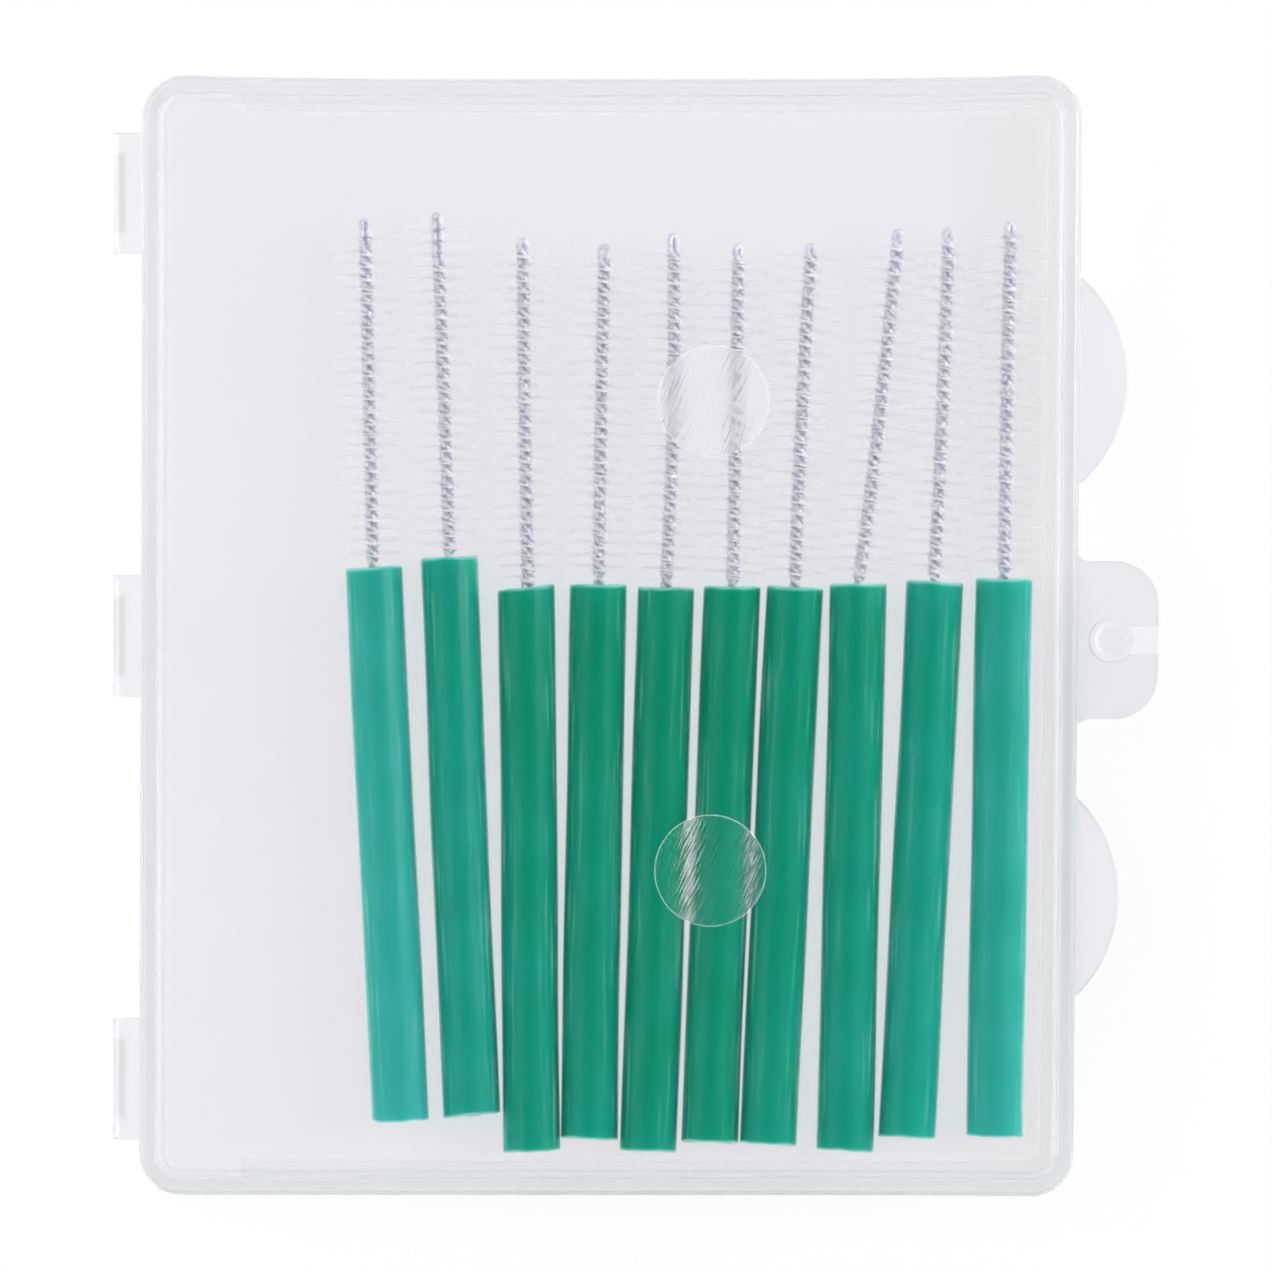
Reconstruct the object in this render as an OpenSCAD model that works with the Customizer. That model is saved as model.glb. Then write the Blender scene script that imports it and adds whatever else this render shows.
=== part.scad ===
// Ten interdental brushes in a flat hinged case, lying on its back with the lid closed.
// The origin is on the table under the middle of the case: +X points away from the hinge,
// +Y points from the handles to the wire tips and +Z points up through the lid.

/* [Handles] */
// Diameter of a handle
handle_d = 3.45; // [3:0.05:4]
// Usual length of a handle
handle_l = 34.3; // [28:0.1:42]
// Depth to which a wire is pressed into its handle
shank_l = 11; // [6:0.5:20]
// Diameter of the part of the wire that is held in the handle
shank_d = 0.72; // [0.6:0.01:0.76]
// Radial play between the shank and its bore
shank_clear = 0.02; // [0.01:0.005:0.05]
// Empty length of the bore behind the shank
bore_relief = 0.5; // [0.2:0.1:1]

/* [Wires and bristles] */
// Diameter over the two twisted strands
wire_d = 0.8; // [0.78:0.01:1]
// Usual length of wire that stands out of a handle
wire_l = 21.5; // [16:0.1:26]
// Height above the handle's mouth at which a wire is bent
bend_rise = 0.3; // [0.2:0.05:0.4]
// Distance between two rows of bristles, which is half a turn of the twist
row_pitch = 0.74; // [0.5:0.02:1.2]
// Thickness of one row of bristles
row_t = 0.2; // [0.1:0.02:0.3]
// Thickness of the layer of bristle roots round the wire
root_t = 0.12; // [0.1:0.01:0.2]
// Radial play between the bristle roots and the wire
root_clear = 0.02; // [0.01:0.005:0.05]
// Diameter of a free bristle head, which sets the depth of the case
bristle_d = 4.6; // [4:0.1:5.6]
// Smallest space between the drawn bristle heads of two neighbours
head_clear = 0.2; // [0.1:0.05:0.4]
// Length of bare wire between the bend and the first row
bare_root = 0.5; // [0.3:0.1:2]
// Length of bare wire at the tip
bare_tip = 0.7; // [0.5:0.1:3]

/* [Case] */
// Thickness of the side walls
wall_t = 1; // [0.8:0.05:1.3]
// Thickness of the tray's floor and of the lid's top
panel_t = 0.9; // [0.7:0.05:1.2]
// Radius of the corners of the case, seen from above
corner_r = 2.6; // [2.4:0.1:5]
// Radius of the corners inside the lip
lip_corner_r = 1; // [0.5:0.1:1.5]
// Thickness of the lip
lip_t = 1; // [0.7:0.05:1.3]
// Height of the lip above the tray's rim
lip_h = 1.2; // [0.8:0.1:2]
// Space between the lip and the lid's wall
lip_clear = 0.12; // [0.1:0.01:0.3]
// Length of rim without a lip, from the hinge side
lip_start = 6.3; // [4:0.1:9]
// Space between the tray's rim and the lid's rim
seam_gap = 0.05; // [0.02:0.01:0.2]
// Room above the bristle heads in the closed case
depth_play = 1; // [0.6:0.1:2]
// Spare width between the hinge wall and the row of handles
spare_w = 11.55; // [8:0.05:20]
// Space between the last handle and the lip
row_margin = 0.8; // [0.5:0.05:2]
// Space between the handles' cut ends and the lip
tail_play = 0.55; // [0.45:0.05:2]
// Room beyond the wire tips
tip_room = 8; // [7:0.1:14]
// Height of a handle above the tray's floor
rest_clear = 0.05; // [0.02:0.01:0.1]

/* [Hinge straps] */
// Width of a strap along the hinge
strap_w = 7.45; // [5:0.05:9]
// Distance that a strap stands out from the case
strap_reach = 1.7; // [1.5:0.05:3]
// Distance from the rounded corner to the outer straps
strap_corner_gap = 0.75; // [0.3:0.05:3]
// Thickness of one leaf of a strap
leaf_t = 0.45; // [0.3:0.05:0.6]
// Radius of the bead at the fold
fold_r = 0.4; // [0.3:0.05:0.5]
// Space between the bead and the lid's leaf
fold_clear = 0.08; // [0.05:0.01:0.1]

/* [Latch and finger tabs] */
// Width of the latch tabs along the case
latch_w = 9.6; // [7:0.1:11]
// Distance that the latch tabs stand out from the case
latch_reach = 4.9; // [4.6:0.1:7]
// Radius of the outer corners of the latch tabs
latch_r = 2.7; // [1:0.1:3]
// Thickness of each tab
tab_t = 0.9; // [0.6:0.05:1.2]
// Diameter of the stud
stud_d = 2.1; // [1.6:0.05:2.4]
// Height of the stud above the lid's tab
stud_rise = 0.15; // [0:0.05:0.5]
// Width of the sloped edge on top of the stud
stud_bevel = 0.25; // [0.1:0.05:0.4]
// Distance from the case wall to the middle of the stud
stud_reach = 2.15; // [2:0.05:2.4]
// Space between the stud and the hole round it
stud_clear = 0.3; // [0.2:0.05:0.4]
// Width of the slot from the hole to the edge of the lid's tab
slot_w = 1.7; // [1:0.05:2]
// Radius of the finger tabs' edge
finger_r = 8.5; // [7:0.1:10]
// Distance that the finger tabs stand out from the case
finger_reach = 2.65; // [2:0.05:3]
// Distance between the middles of the two finger tabs
finger_pitch = 31.6; // [26:0.1:36]

/* [Marks inside the lid] */
// Diameter of the round marks
mark_d = 6.9; // [4:0.1:9]
// Depth of the round marks
mark_depth = 0.08; // [0.04:0.01:0.2]
// Distance of the marks from the middle of the case, away from the hinge
mark_offset = 6.3; // [0:0.1:12]
// Distance between the two marks
mark_pitch = 28.8; // [20:0.1:34]

/* [Hidden] */
$fn = 64;
// Length by which a cut runs past the face that it opens
overrun = 0.5;

// How the loose brushes lie, as shares of handle_d, handle_l or wire_l
front_gap_shares = [0.344, 0.353, 0.277, 0.193, 0.184, 0.113, 0.126, 0.355, 0.239];
tail_gap_shares = [0.254, 0.039, 0.02, 0.055, 0.085, 0.044, 0.364, 0.086, 0.577];
tail_shift_share = 0.17;
rise_shares = [0.052, 0.064, 0, 0.02, 0, 0.014, 0.007, 0, 0.023, 0.021];
handle_extra_shares = [-0.009, -0.003, 0.006, -0.009, 0.006, -0.006, 0, 0.012, -0.006, 0];
wire_extra_shares = [0, -0.014, 0, -0.028, 0.014, -0.019, -0.014, 0.019, 0.014, 0.023];
// Angle of each wire to its handle, positive away from the hinge
wire_bends = [1.5, 0.1, -0.4, 0, -0.7, -1.2, 0.3, 4.4, -0.5, 0.3];
brush_count = len(rise_shares);
brushes = [0 : brush_count - 1];

function sum(values, i = 0) = i < len(values) ? values[i] + sum(values, i + 1) : 0;
function head(values, n) = [for (i = [0 : 1 : n - 1]) values[i]];

// Case
rim_t = wall_t + lip_clear + lip_t;
row_w = handle_d * (brush_count + sum(front_gap_shares));
case_w = wall_t + spare_w + row_w + row_margin + rim_t;
case_l = rim_t + tail_play + handle_l + wire_l + tip_room + rim_t;
case_h = 2 * panel_t + bristle_d + depth_play;
tray_h = (case_h - seam_gap) / 2;
lid_z = tray_h + seam_gap;
lip_r = corner_r - wall_t - lip_clear;
edge_x = case_w / 2;
edge_y = case_l / 2;

// Hinge straps and tabs
hinge_x = -edge_x - strap_reach + fold_r;
hinge_z = tray_h + seam_gap / 2;
strap_y = edge_y - corner_r - strap_corner_gap - strap_w / 2;
strap_places = [strap_y, 0, -strap_y];
strap_names = ["upper", "middle", "lower"];
hole_d = stud_d + 2 * stud_clear;
stud_top = lid_z + tab_t + stud_rise;

// Brushes: the x of each axis level with the handles' mouths and with their cut ends
front_y = edge_y - rim_t - tip_room - wire_l;
tail_y = -edge_y + rim_t + tail_play;
axis_z = panel_t + rest_clear + handle_d / 2;
last_front_x = edge_x - rim_t - row_margin - handle_d / 2;
last_tail_x = last_front_x - tail_shift_share * handle_d;
front_xs = row_places(last_front_x, front_gap_shares);
tail_xs = row_places(last_tail_x, tail_gap_shares);
leans = [for (i = brushes) asin((front_xs[i] - tail_xs[i]) / handle_l)];
handle_ls = [for (i = brushes) handle_l * (1 + handle_extra_shares[i])];
wire_ls = [for (i = brushes) wire_l * (1 + wire_extra_shares[i])];
tip_xs = [for (i = brushes) front_xs[i] + wire_l * sin(leans[i] + wire_bends[i])];
bore_d = shank_d + 2 * shank_clear;
root_d = wire_d + 2 * root_clear;

// Bristle heads of neighbours mesh on the real brushes. Here each stops short of the next.
tip_spaces = [for (i = [1 : brush_count - 1]) tip_xs[i] - tip_xs[i - 1]];
head_d = min(bristle_d, min(tip_spaces) - head_clear);

function row_places(last, shares) =
    let (all = sum(shares), n = brush_count)
    [for (i = brushes) last - handle_d * (n - 1 - i + all - sum(head(shares, i)))];
function label(i) = str(i < 9 ? "0" : "", i + 1);

// Rectangle with rounded corners, centred
module rounded_plan(size_x, size_y, r) {
    square([size_x - 2 * r, size_y], center = true);
    square([size_x, size_y - 2 * r], center = true);
    for (sx = [-1, 1], sy = [-1, 1])
        translate([sx * (size_x / 2 - r), sy * (size_y / 2 - r)])
            circle(r);
}

// Space inside the lip, which reaches the hinge wall without its rounded corners
module lip_inside() {
    inner_x = edge_x - rim_t;
    inner_y = edge_y - rim_t;
    intersection() {
        translate([inner_x - edge_x, 0])
            rounded_plan(case_w, 2 * inner_y, lip_corner_r);
        translate([wall_t - edge_x, -inner_y])
            square([inner_x + edge_x - wall_t, 2 * inner_y]);
    }
}

// Space beside the hinge wall, where there is no lip
module hinge_side_inside() {
    intersection() {
        rounded_plan(case_w - 2 * wall_t, case_l - 2 * wall_t, corner_r - wall_t);
        translate([-edge_x, -edge_y])
            square([lip_start, case_l]);
    }
}

// Outline of the lip's outer face, from its start to the latch side
module lip_outside() {
    intersection() {
        rounded_plan(case_w - 2 * (wall_t + lip_clear), case_l - 2 * (wall_t + lip_clear), lip_r);
        translate([lip_start - edge_x, -edge_y])
            square([case_w - lip_start, case_l]);
    }
}

// Tab for the latch, from inside the wall to its rounded outer corners
module latch_plan() {
    translate([edge_x - wall_t / 2, -latch_w / 2])
        square([wall_t / 2 + latch_reach - latch_r, latch_w]);
    translate([edge_x, latch_r - latch_w / 2])
        square([latch_reach, latch_w - 2 * latch_r]);
    for (s = [-1, 1])
        translate([edge_x + latch_reach - latch_r, s * (latch_w / 2 - latch_r)])
            circle(latch_r);
}

// Tab for a finger: a slice of a disc, from inside the wall
module finger_plan() {
    intersection() {
        translate([edge_x + finger_reach - finger_r, 0])
            circle(finger_r);
        translate([edge_x - wall_t / 2, -finger_r])
            square([wall_t / 2 + finger_reach + overrun, 2 * finger_r]);
    }
}

module stud() {
    translate([edge_x + stud_reach, 0, tray_h - tab_t / 2])
        cylinder(d = stud_d, h = stud_top - stud_bevel - tray_h + tab_t / 2);
    translate([edge_x + stud_reach, 0, stud_top - stud_bevel])
        cylinder(d1 = stud_d, d2 = stud_d - 2 * stud_bevel, h = stud_bevel);
}

module case_tray() {
    color("whitesmoke", 0.4)
        difference() {
            union() {
                linear_extrude(tray_h)
                    rounded_plan(case_w, case_l, corner_r);
                linear_extrude(tray_h + lip_h)
                    lip_outside();
                translate([0, 0, tray_h - tab_t])
                    linear_extrude(tab_t)
                        latch_plan();
                translate([0, -finger_pitch / 2, tray_h - tab_t])
                    linear_extrude(tab_t)
                        finger_plan();
                stud();
            }
            translate([0, 0, panel_t])
                linear_extrude(tray_h + lip_h)
                    lip_inside();
            translate([0, 0, panel_t])
                linear_extrude(tray_h + lip_h)
                    hinge_side_inside();
        }
}

// C-shaped hole: a round hole with a slot out to the tab's edge
module latch_hole() {
    translate([edge_x + stud_reach, 0, lid_z - overrun])
        cylinder(d = hole_d, h = tab_t + 2 * overrun);
    translate([edge_x + stud_reach, -slot_w / 2, lid_z - overrun])
        cube([latch_reach - stud_reach + overrun, slot_w, tab_t + 2 * overrun]);
}

module case_lid() {
    color("whitesmoke", 0.4)
        difference() {
            union() {
                translate([0, 0, lid_z])
                    linear_extrude(case_h - lid_z)
                        rounded_plan(case_w, case_l, corner_r);
                translate([0, 0, lid_z])
                    linear_extrude(tab_t)
                        latch_plan();
                translate([0, finger_pitch / 2, lid_z])
                    linear_extrude(tab_t)
                        finger_plan();
            }
            translate([0, 0, lid_z - overrun])
                linear_extrude(case_h - panel_t - lid_z + overrun)
                    rounded_plan(case_w - 2 * wall_t, case_l - 2 * wall_t, corner_r - wall_t);
            for (s = [-1, 1])
                translate([mark_offset, s * mark_pitch / 2, case_h - panel_t - overrun])
                    cylinder(d = mark_d, h = overrun + mark_depth);
            latch_hole();
        }
}

// Turns an outline drawn in X and Z into a solid of a strap's width
module along_strap(y) {
    translate([0, y + strap_w / 2, 0])
        rotate([90, 0, 0])
            linear_extrude(strap_w)
                children();
}

// Lower leaf of a strap, with the bead on which the fold turns
module tray_leaf(k) {
    color("whitesmoke", 0.5)
        along_strap(strap_places[k]) {
            translate([hinge_x, hinge_z])
                circle(fold_r);
            translate([hinge_x, tray_h - leaf_t])
                square([-edge_x - hinge_x, leaf_t]);
        }
}

// Upper leaf of a strap, cut round to clear the bead
module lid_leaf(k) {
    color("whitesmoke", 0.5)
        along_strap(strap_places[k])
            difference() {
                translate([hinge_x, lid_z])
                    square([-edge_x - hinge_x, leaf_t]);
                translate([hinge_x, hinge_z])
                    circle(fold_r + fold_clear);
            }
}

// Puts a shape that stands on the origin along the axis of brush i
module on_brush(i) {
    translate([tail_xs[i], tail_y, axis_z])
        rotate([0, 0, -leans[i]])
            translate([0, rise_shares[i] * handle_l, 0])
                rotate([-90, 0, 0])
                    children();
}

// Puts a shape along the wire of brush i, from the bend on
module on_wire(i) {
    on_brush(i)
        translate([0, 0, handle_ls[i] + bend_rise])
            rotate([0, wire_bends[i], 0])
                children();
}

module handle(i) {
    color("#168f7b")
        on_brush(i)
            difference() {
                cylinder(d = handle_d, h = handle_ls[i]);
                translate([0, 0, handle_ls[i] - shank_l - bore_relief])
                    cylinder(d = bore_d, h = shank_l + bore_relief + overrun);
            }
}

module wire(i) {
    color("silver") {
        on_brush(i)
            translate([0, 0, handle_ls[i] - shank_l])
                cylinder(d = shank_d, h = shank_l + 2 * bend_rise);
        on_wire(i)
            rotate_extrude()
                intersection() {
                    union() {
                        translate([-wire_d / 2, 0])
                            square([wire_d, wire_ls[i] - bend_rise - wire_d / 2]);
                        translate([0, wire_ls[i] - bend_rise - wire_d / 2])
                            circle(d = wire_d);
                    }
                    square([wire_d, wire_ls[i]]);
                }
    }
}

// Bristle head: rows on a thin layer of roots round the wire
module bristles(i) {
    rows_l = wire_ls[i] - bend_rise - bare_root - bare_tip;
    rows = floor((rows_l - row_t) / row_pitch);
    outline = [for (n = [0 : rows], corner = [0 : 3]) [
        corner == 1 || corner == 2 ? head_d / 2 : root_d / 2 + root_t,
        bare_root + n * row_pitch + (corner > 1 ? row_t : 0)
    ]];
    color("white", 0.6)
        on_wire(i)
            rotate_extrude()
                polygon(concat(
                    [[root_d / 2, bare_root]],
                    outline,
                    [[root_d / 2, bare_root + rows * row_pitch + row_t]]
                ));
}

case_tray();
case_lid();
for (k = [0 : len(strap_names) - 1]) {
    tray_leaf(k);
    lid_leaf(k);
}
for (i = brushes) {
    handle(i);
    wire(i);
    bristles(i);
}
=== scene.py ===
"""Ten green interdental brushes lying loose in a flat, see-through hinged case.

The case is shown closed and from straight above. Its origin is on the table under its middle: +X points away from the
hinge, +Y from the handles to the wire tips, and +Z up through the lid. Sizes in the classes are in millimetres, and
each finished piece is turned to metres.
"""

import logging
import math
import random
from dataclasses import dataclass, field
from enum import Enum, IntEnum
from typing import Callable, Iterable, Optional, Union

import bmesh
import bpy
from mathutils import Matrix, Vector

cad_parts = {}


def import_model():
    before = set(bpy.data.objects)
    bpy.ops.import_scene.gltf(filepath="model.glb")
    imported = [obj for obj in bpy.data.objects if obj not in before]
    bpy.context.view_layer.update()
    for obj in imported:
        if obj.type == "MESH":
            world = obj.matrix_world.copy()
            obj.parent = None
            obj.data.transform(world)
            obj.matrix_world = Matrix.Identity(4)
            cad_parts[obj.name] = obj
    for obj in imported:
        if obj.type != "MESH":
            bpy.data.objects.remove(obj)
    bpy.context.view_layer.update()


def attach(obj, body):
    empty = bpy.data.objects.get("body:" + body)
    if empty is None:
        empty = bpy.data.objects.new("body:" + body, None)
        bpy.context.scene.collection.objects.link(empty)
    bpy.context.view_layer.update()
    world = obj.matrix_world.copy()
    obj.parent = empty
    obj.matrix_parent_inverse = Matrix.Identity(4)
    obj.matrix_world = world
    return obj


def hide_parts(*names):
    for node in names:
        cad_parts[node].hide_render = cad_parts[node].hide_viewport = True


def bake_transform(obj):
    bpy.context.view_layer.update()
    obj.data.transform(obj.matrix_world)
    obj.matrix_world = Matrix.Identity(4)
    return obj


LOG = logging.getLogger("brush_case")
MM = 0.001
MAP_STEP = 70.0  # Between the maps of two rods, so that each has its own pattern.
Point = tuple[float, float]
Colour = tuple[float, float, float, float]
Socket = bpy.types.NodeSocket


class Slot(Enum):
    """The record's material slots."""

    CASE = "case"
    HANDLE = "handle"
    WIRE = "wire"
    BRISTLE = "bristle"


class Carve(Enum):
    """Ways to put two solid forms together."""

    ADD = "UNION"
    CUT = "DIFFERENCE"


class Plastic(IntEnum):
    """The case's finishes, in the order of its materials."""

    PANEL = 0
    WALL = 1
    MARK = 2
    EDGE = 3
    GRIP = 4
    FILM = 5
    SIDE = 6
    SHADE = 7
    TAB = 8
    RIND = 9


# Finishes


def linear(colour: str) -> Colour:
    """Turns a colour as written in sRGB into linear light.

    Args:
        colour: The colour as "#rrggbb".

    Returns:
        Red, green, blue and an alpha of one.
    """
    parts = [int(colour[i : i + 2], 16) / 255 for i in (1, 3, 5)]
    light = [c / 12.92 if c <= 0.04045 else ((c + 0.055) / 1.055) ** 2.4 for c in parts]
    return (light[0], light[1], light[2], 1.0)


def add(
    tree: bpy.types.NodeTree,
    kind: str,
    values: Optional[dict] = None,
    links: Optional[dict] = None,
    stops: Optional[list] = None,
    **settings: object,
) -> bpy.types.Node:
    """Adds a node with its settings and links.

    Args:
        tree: The node tree that gets the node.
        kind: The node's type name.
        values: Values of input sockets, by name or number.
        links: Output sockets that feed input sockets, by name or number.
        stops: The places from 0 to 1 of its colour ramp, with their linear colours.
        settings: Attributes of the node itself.

    Returns:
        The new node.
    """
    node = tree.nodes.new(kind)
    for name, value in settings.items():
        setattr(node, name, value)
    for name, value in (values or {}).items():
        node.inputs[name].default_value = value
    for name, source in (links or {}).items():
        tree.links.new(source, node.inputs[name])
    if stops:
        while len(node.color_ramp.elements) < len(stops):
            node.color_ramp.elements.new(0.5)
        for element, (place, colour) in zip(node.color_ramp.elements, stops):
            element.position, element.color = place, colour
    return node


def blank(name: str) -> bpy.types.Material:
    """Makes a node material that is still empty.

    Args:
        name: What it is called.

    Returns:
        The new material.
    """
    material = bpy.data.materials.new(name)
    material.use_nodes = True
    material.node_tree.nodes.clear()
    return material


def within(
    tree: bpy.types.NodeTree, axes: bpy.types.bpy_prop_collection, spans: Iterable[tuple[str, float, float]]
) -> Socket:
    """Adds a soft mask over a part of the object.

    Args:
        tree: The node tree that gets the mask.
        axes: The place's X, Y and Z sockets.
        spans: For each side of that part its axis, and where along it the mask is 0 and where it is 1.

    Returns:
        The mask's socket.
    """
    share = None
    for axis, outside, inside in spans:
        step = add(
            tree, "ShaderNodeMapRange", {"From Min": outside * MM, "From Max": inside * MM}, {"Value": axes[axis]}
        ).outputs[0]
        if share:
            step = add(tree, "ShaderNodeMath", links={0: share, 1: step}, operation="MULTIPLY").outputs[0]
        share = step
    return share


def lets_lamps_through(tree: bpy.types.NodeTree, shader: Socket) -> None:
    """Finishes a clear material, so that lamps reach what lies behind it.

    Args:
        tree: The material's node tree.
        shader: The clear shader's output socket.
    """
    path = add(tree, "ShaderNodeLightPath")
    open_air = add(tree, "ShaderNodeBsdfTransparent", {"Color": linear("#f4f4f6")})
    links = {0: path.outputs["Is Shadow Ray"], 1: shader, 2: open_air.outputs[0]}
    mixed = add(tree, "ShaderNodeMixShader", links=links)
    add(tree, "ShaderNodeOutputMaterial", links={"Surface": mixed.outputs[0]})


@dataclass(frozen=True)
class ClearPolypropylene:
    """Injection-moulded polypropylene: see-through, with soft flow waves in its polished faces."""

    name: str = "moulded_clear_polypropylene"
    colour: str = "#fefdff"
    latch_side_shade: str = "#fbfafb"
    rod_bounce_light: str = "#f8ffff"
    roughness: tuple[float, float] = (0.08, 0.12)
    body: float = 1.0
    haze: float = 0.0
    index: float = 1.49
    wave_mm: float = 7.0
    wave_height_mm: float = 0.004

    def tint(self, tree: bpy.types.NodeTree, place: Socket) -> dict[str, Socket]:
        """Gives the colour links: painted shade towards the latch, and painted green light from the rods on the floor.

        Args:
            tree: The material's node tree.
            place: Where each spot is on the object.

        Returns:
            The sockets that feed the shader, by input name.
        """
        axes = add(tree, "ShaderNodeSeparateXYZ", links={0: place}).outputs
        # Painted shade: the plastic is drawn greyer towards the latch.
        share = within(tree, axes, [("X", 20.0, 26.0)])
        stops = [(0.0, linear(self.colour)), (1.0, linear(self.latch_side_shade))]
        greyer = add(tree, "ShaderNodeValToRGB", links={0: share}, stops=stops).outputs["Color"]
        # Painted light: the floor under the rods is drawn green, standing in for the light they throw onto it.
        spans = [("Z", 1.2, 1.0), ("X", -15.0, -14.0), ("X", 25.0, 24.0), ("Y", 5.0, 2.0), ("Y", -31.2, -29.8)]
        green = add(
            tree,
            "ShaderNodeMix",
            {7: linear(self.rod_bounce_light)},
            {0: within(tree, axes, spans), 6: greyer},
            data_type="RGBA",
        )
        return {"Base Color": green.outputs[2]}

    def build(self) -> bpy.types.Material:
        """Makes the material.

        Returns:
            The finished material.
        """
        material = blank(self.name)
        tree = material.node_tree
        place = add(tree, "ShaderNodeTexCoord").outputs["Object"]
        wave = add(tree, "ShaderNodeTexNoise", {"Scale": 1 / (self.wave_mm * MM), "Detail": 2.0}, {"Vector": place})
        rough = add(
            tree,
            "ShaderNodeMapRange",
            {"To Min": self.roughness[0], "To Max": self.roughness[1]},
            {"Value": wave.outputs["Fac"]},
        )
        links = {"Roughness": rough.outputs[0], **self.tint(tree, place)}
        if self.wave_height_mm:
            links["Normal"] = add(
                tree,
                "ShaderNodeBump",
                {"Strength": 1.0, "Distance": self.wave_height_mm * MM},
                {"Height": wave.outputs["Fac"]},
            ).outputs[0]
        shader = add(
            tree,
            "ShaderNodeBsdfPrincipled",
            {
                "Base Color": linear(self.colour),
                "IOR": self.index,
                "Transmission Weight": 1.0 - self.haze,
                "Alpha": self.body,
            },
            links,
        )
        lets_lamps_through(tree, shader.outputs[0])
        return material


@dataclass(frozen=True)
class MilkyPolypropylene(ClearPolypropylene):
    """The same plastic in the walls and rims, where the mould wasn't polished: softer and a little greyer."""

    name: str = "moulded_milky_polypropylene"
    colour: str = "#dfdfe4"
    rod_reflection: str = "#d0d7d9"
    shaded: str = "#cfcfd5"
    roughness: tuple[float, float] = (0.42, 0.58)
    body: float = 0.45
    wave_mm: float = 3.0
    wave_height_mm: float = 0.0

    def tint(self, tree: bpy.types.NodeTree, place: Socket) -> dict[str, Socket]:
        """Gives the colour links: a painted green reflection of the rods in the walls beside them, painted shade on
        the left.

        Args:
            tree: The material's node tree.
            place: Where each spot is on the object.

        Returns:
            The sockets that feed the shader, by input name.
        """
        axes = add(tree, "ShaderNodeSeparateXYZ", links={0: place}).outputs
        # Painted reflection: the walls beside the rods are drawn green. Painted shade: the left wall is drawn greyer.
        spans = (("X", 24.0, 26.0, 0.0), ("Y", -2.0, 5.0, 1.0), ("Y", -32.0, -31.0, 1.0), ("X", -27.5, -27.0, 1.0))
        shares = [
            add(
                tree,
                "ShaderNodeMapRange",
                {"From Min": low * MM, "From Max": high * MM, "To Min": first, "To Max": 1 - first},
                {"Value": axes[axis]},
            ).outputs[0]
            for axis, low, high, first in spans
        ]
        side = add(tree, "ShaderNodeMath", links={0: shares[0], 1: shares[1]}, operation="MULTIPLY")
        share = add(tree, "ShaderNodeMath", links={0: side.outputs[0], 1: shares[2]}, operation="MAXIMUM")
        stops = [(0.0, linear(self.colour)), (1.0, linear(self.rod_reflection))]
        greener = add(tree, "ShaderNodeValToRGB", links={0: share.outputs[0]}, stops=stops).outputs["Color"]
        greyer = add(
            tree, "ShaderNodeMix", {7: linear(self.shaded)}, {0: shares[3], 6: greener}, data_type="RGBA"
        )
        return {"Base Color": greyer.outputs[2]}


@dataclass(frozen=True)
class ThinPolypropylene(MilkyPolypropylene):
    """The same plastic in upright inner faces, which show only as a soft line."""

    name: str = "moulded_thin_polypropylene"
    body: float = 0.22


@dataclass(frozen=True)
class OuterPolypropylene(MilkyPolypropylene):
    """The same plastic in the outer walls and their roundings, which a grained mould left soft."""

    name: str = "moulded_outer_polypropylene"
    colour: str = "#edecf1"
    rod_reflection: str = "#e3e8ea"
    shaded: str = "#e4e4ea"
    body: float = 0.6
    haze: float = 0.3


@dataclass(frozen=True)
class GrainedPolypropylene(MilkyPolypropylene):
    """The same plastic with a fine grain for the fingers: the most matt and the greyest."""

    name: str = "grained_polypropylene_grip"
    colour: str = "#f1eff4"
    body: float = 1.0

    def tint(self, tree: bpy.types.NodeTree, place: Socket) -> dict[str, Socket]:
        """Gives the links of the shader's colour: none, as it is even."""
        return {}


@dataclass(frozen=True)
class StudShadePolypropylene(GrainedPolypropylene):
    """The same plastic drawn greyer on the stud's top, and as painted shade beside the stud and on its hole's left and
    lower edge.
    """

    name: str = "grained_polypropylene_stud_shade"
    colour: str = "#e4e4e9"


@dataclass(frozen=True)
class LitTabPolypropylene(GrainedPolypropylene):
    """The same plastic drawn paler in the tray's latch tab, seen through the lid's tab: painted light, making up for
    what that tab takes.
    """

    name: str = "grained_polypropylene_tab_painted_light"
    colour: str = "#f7f5f9"


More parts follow.
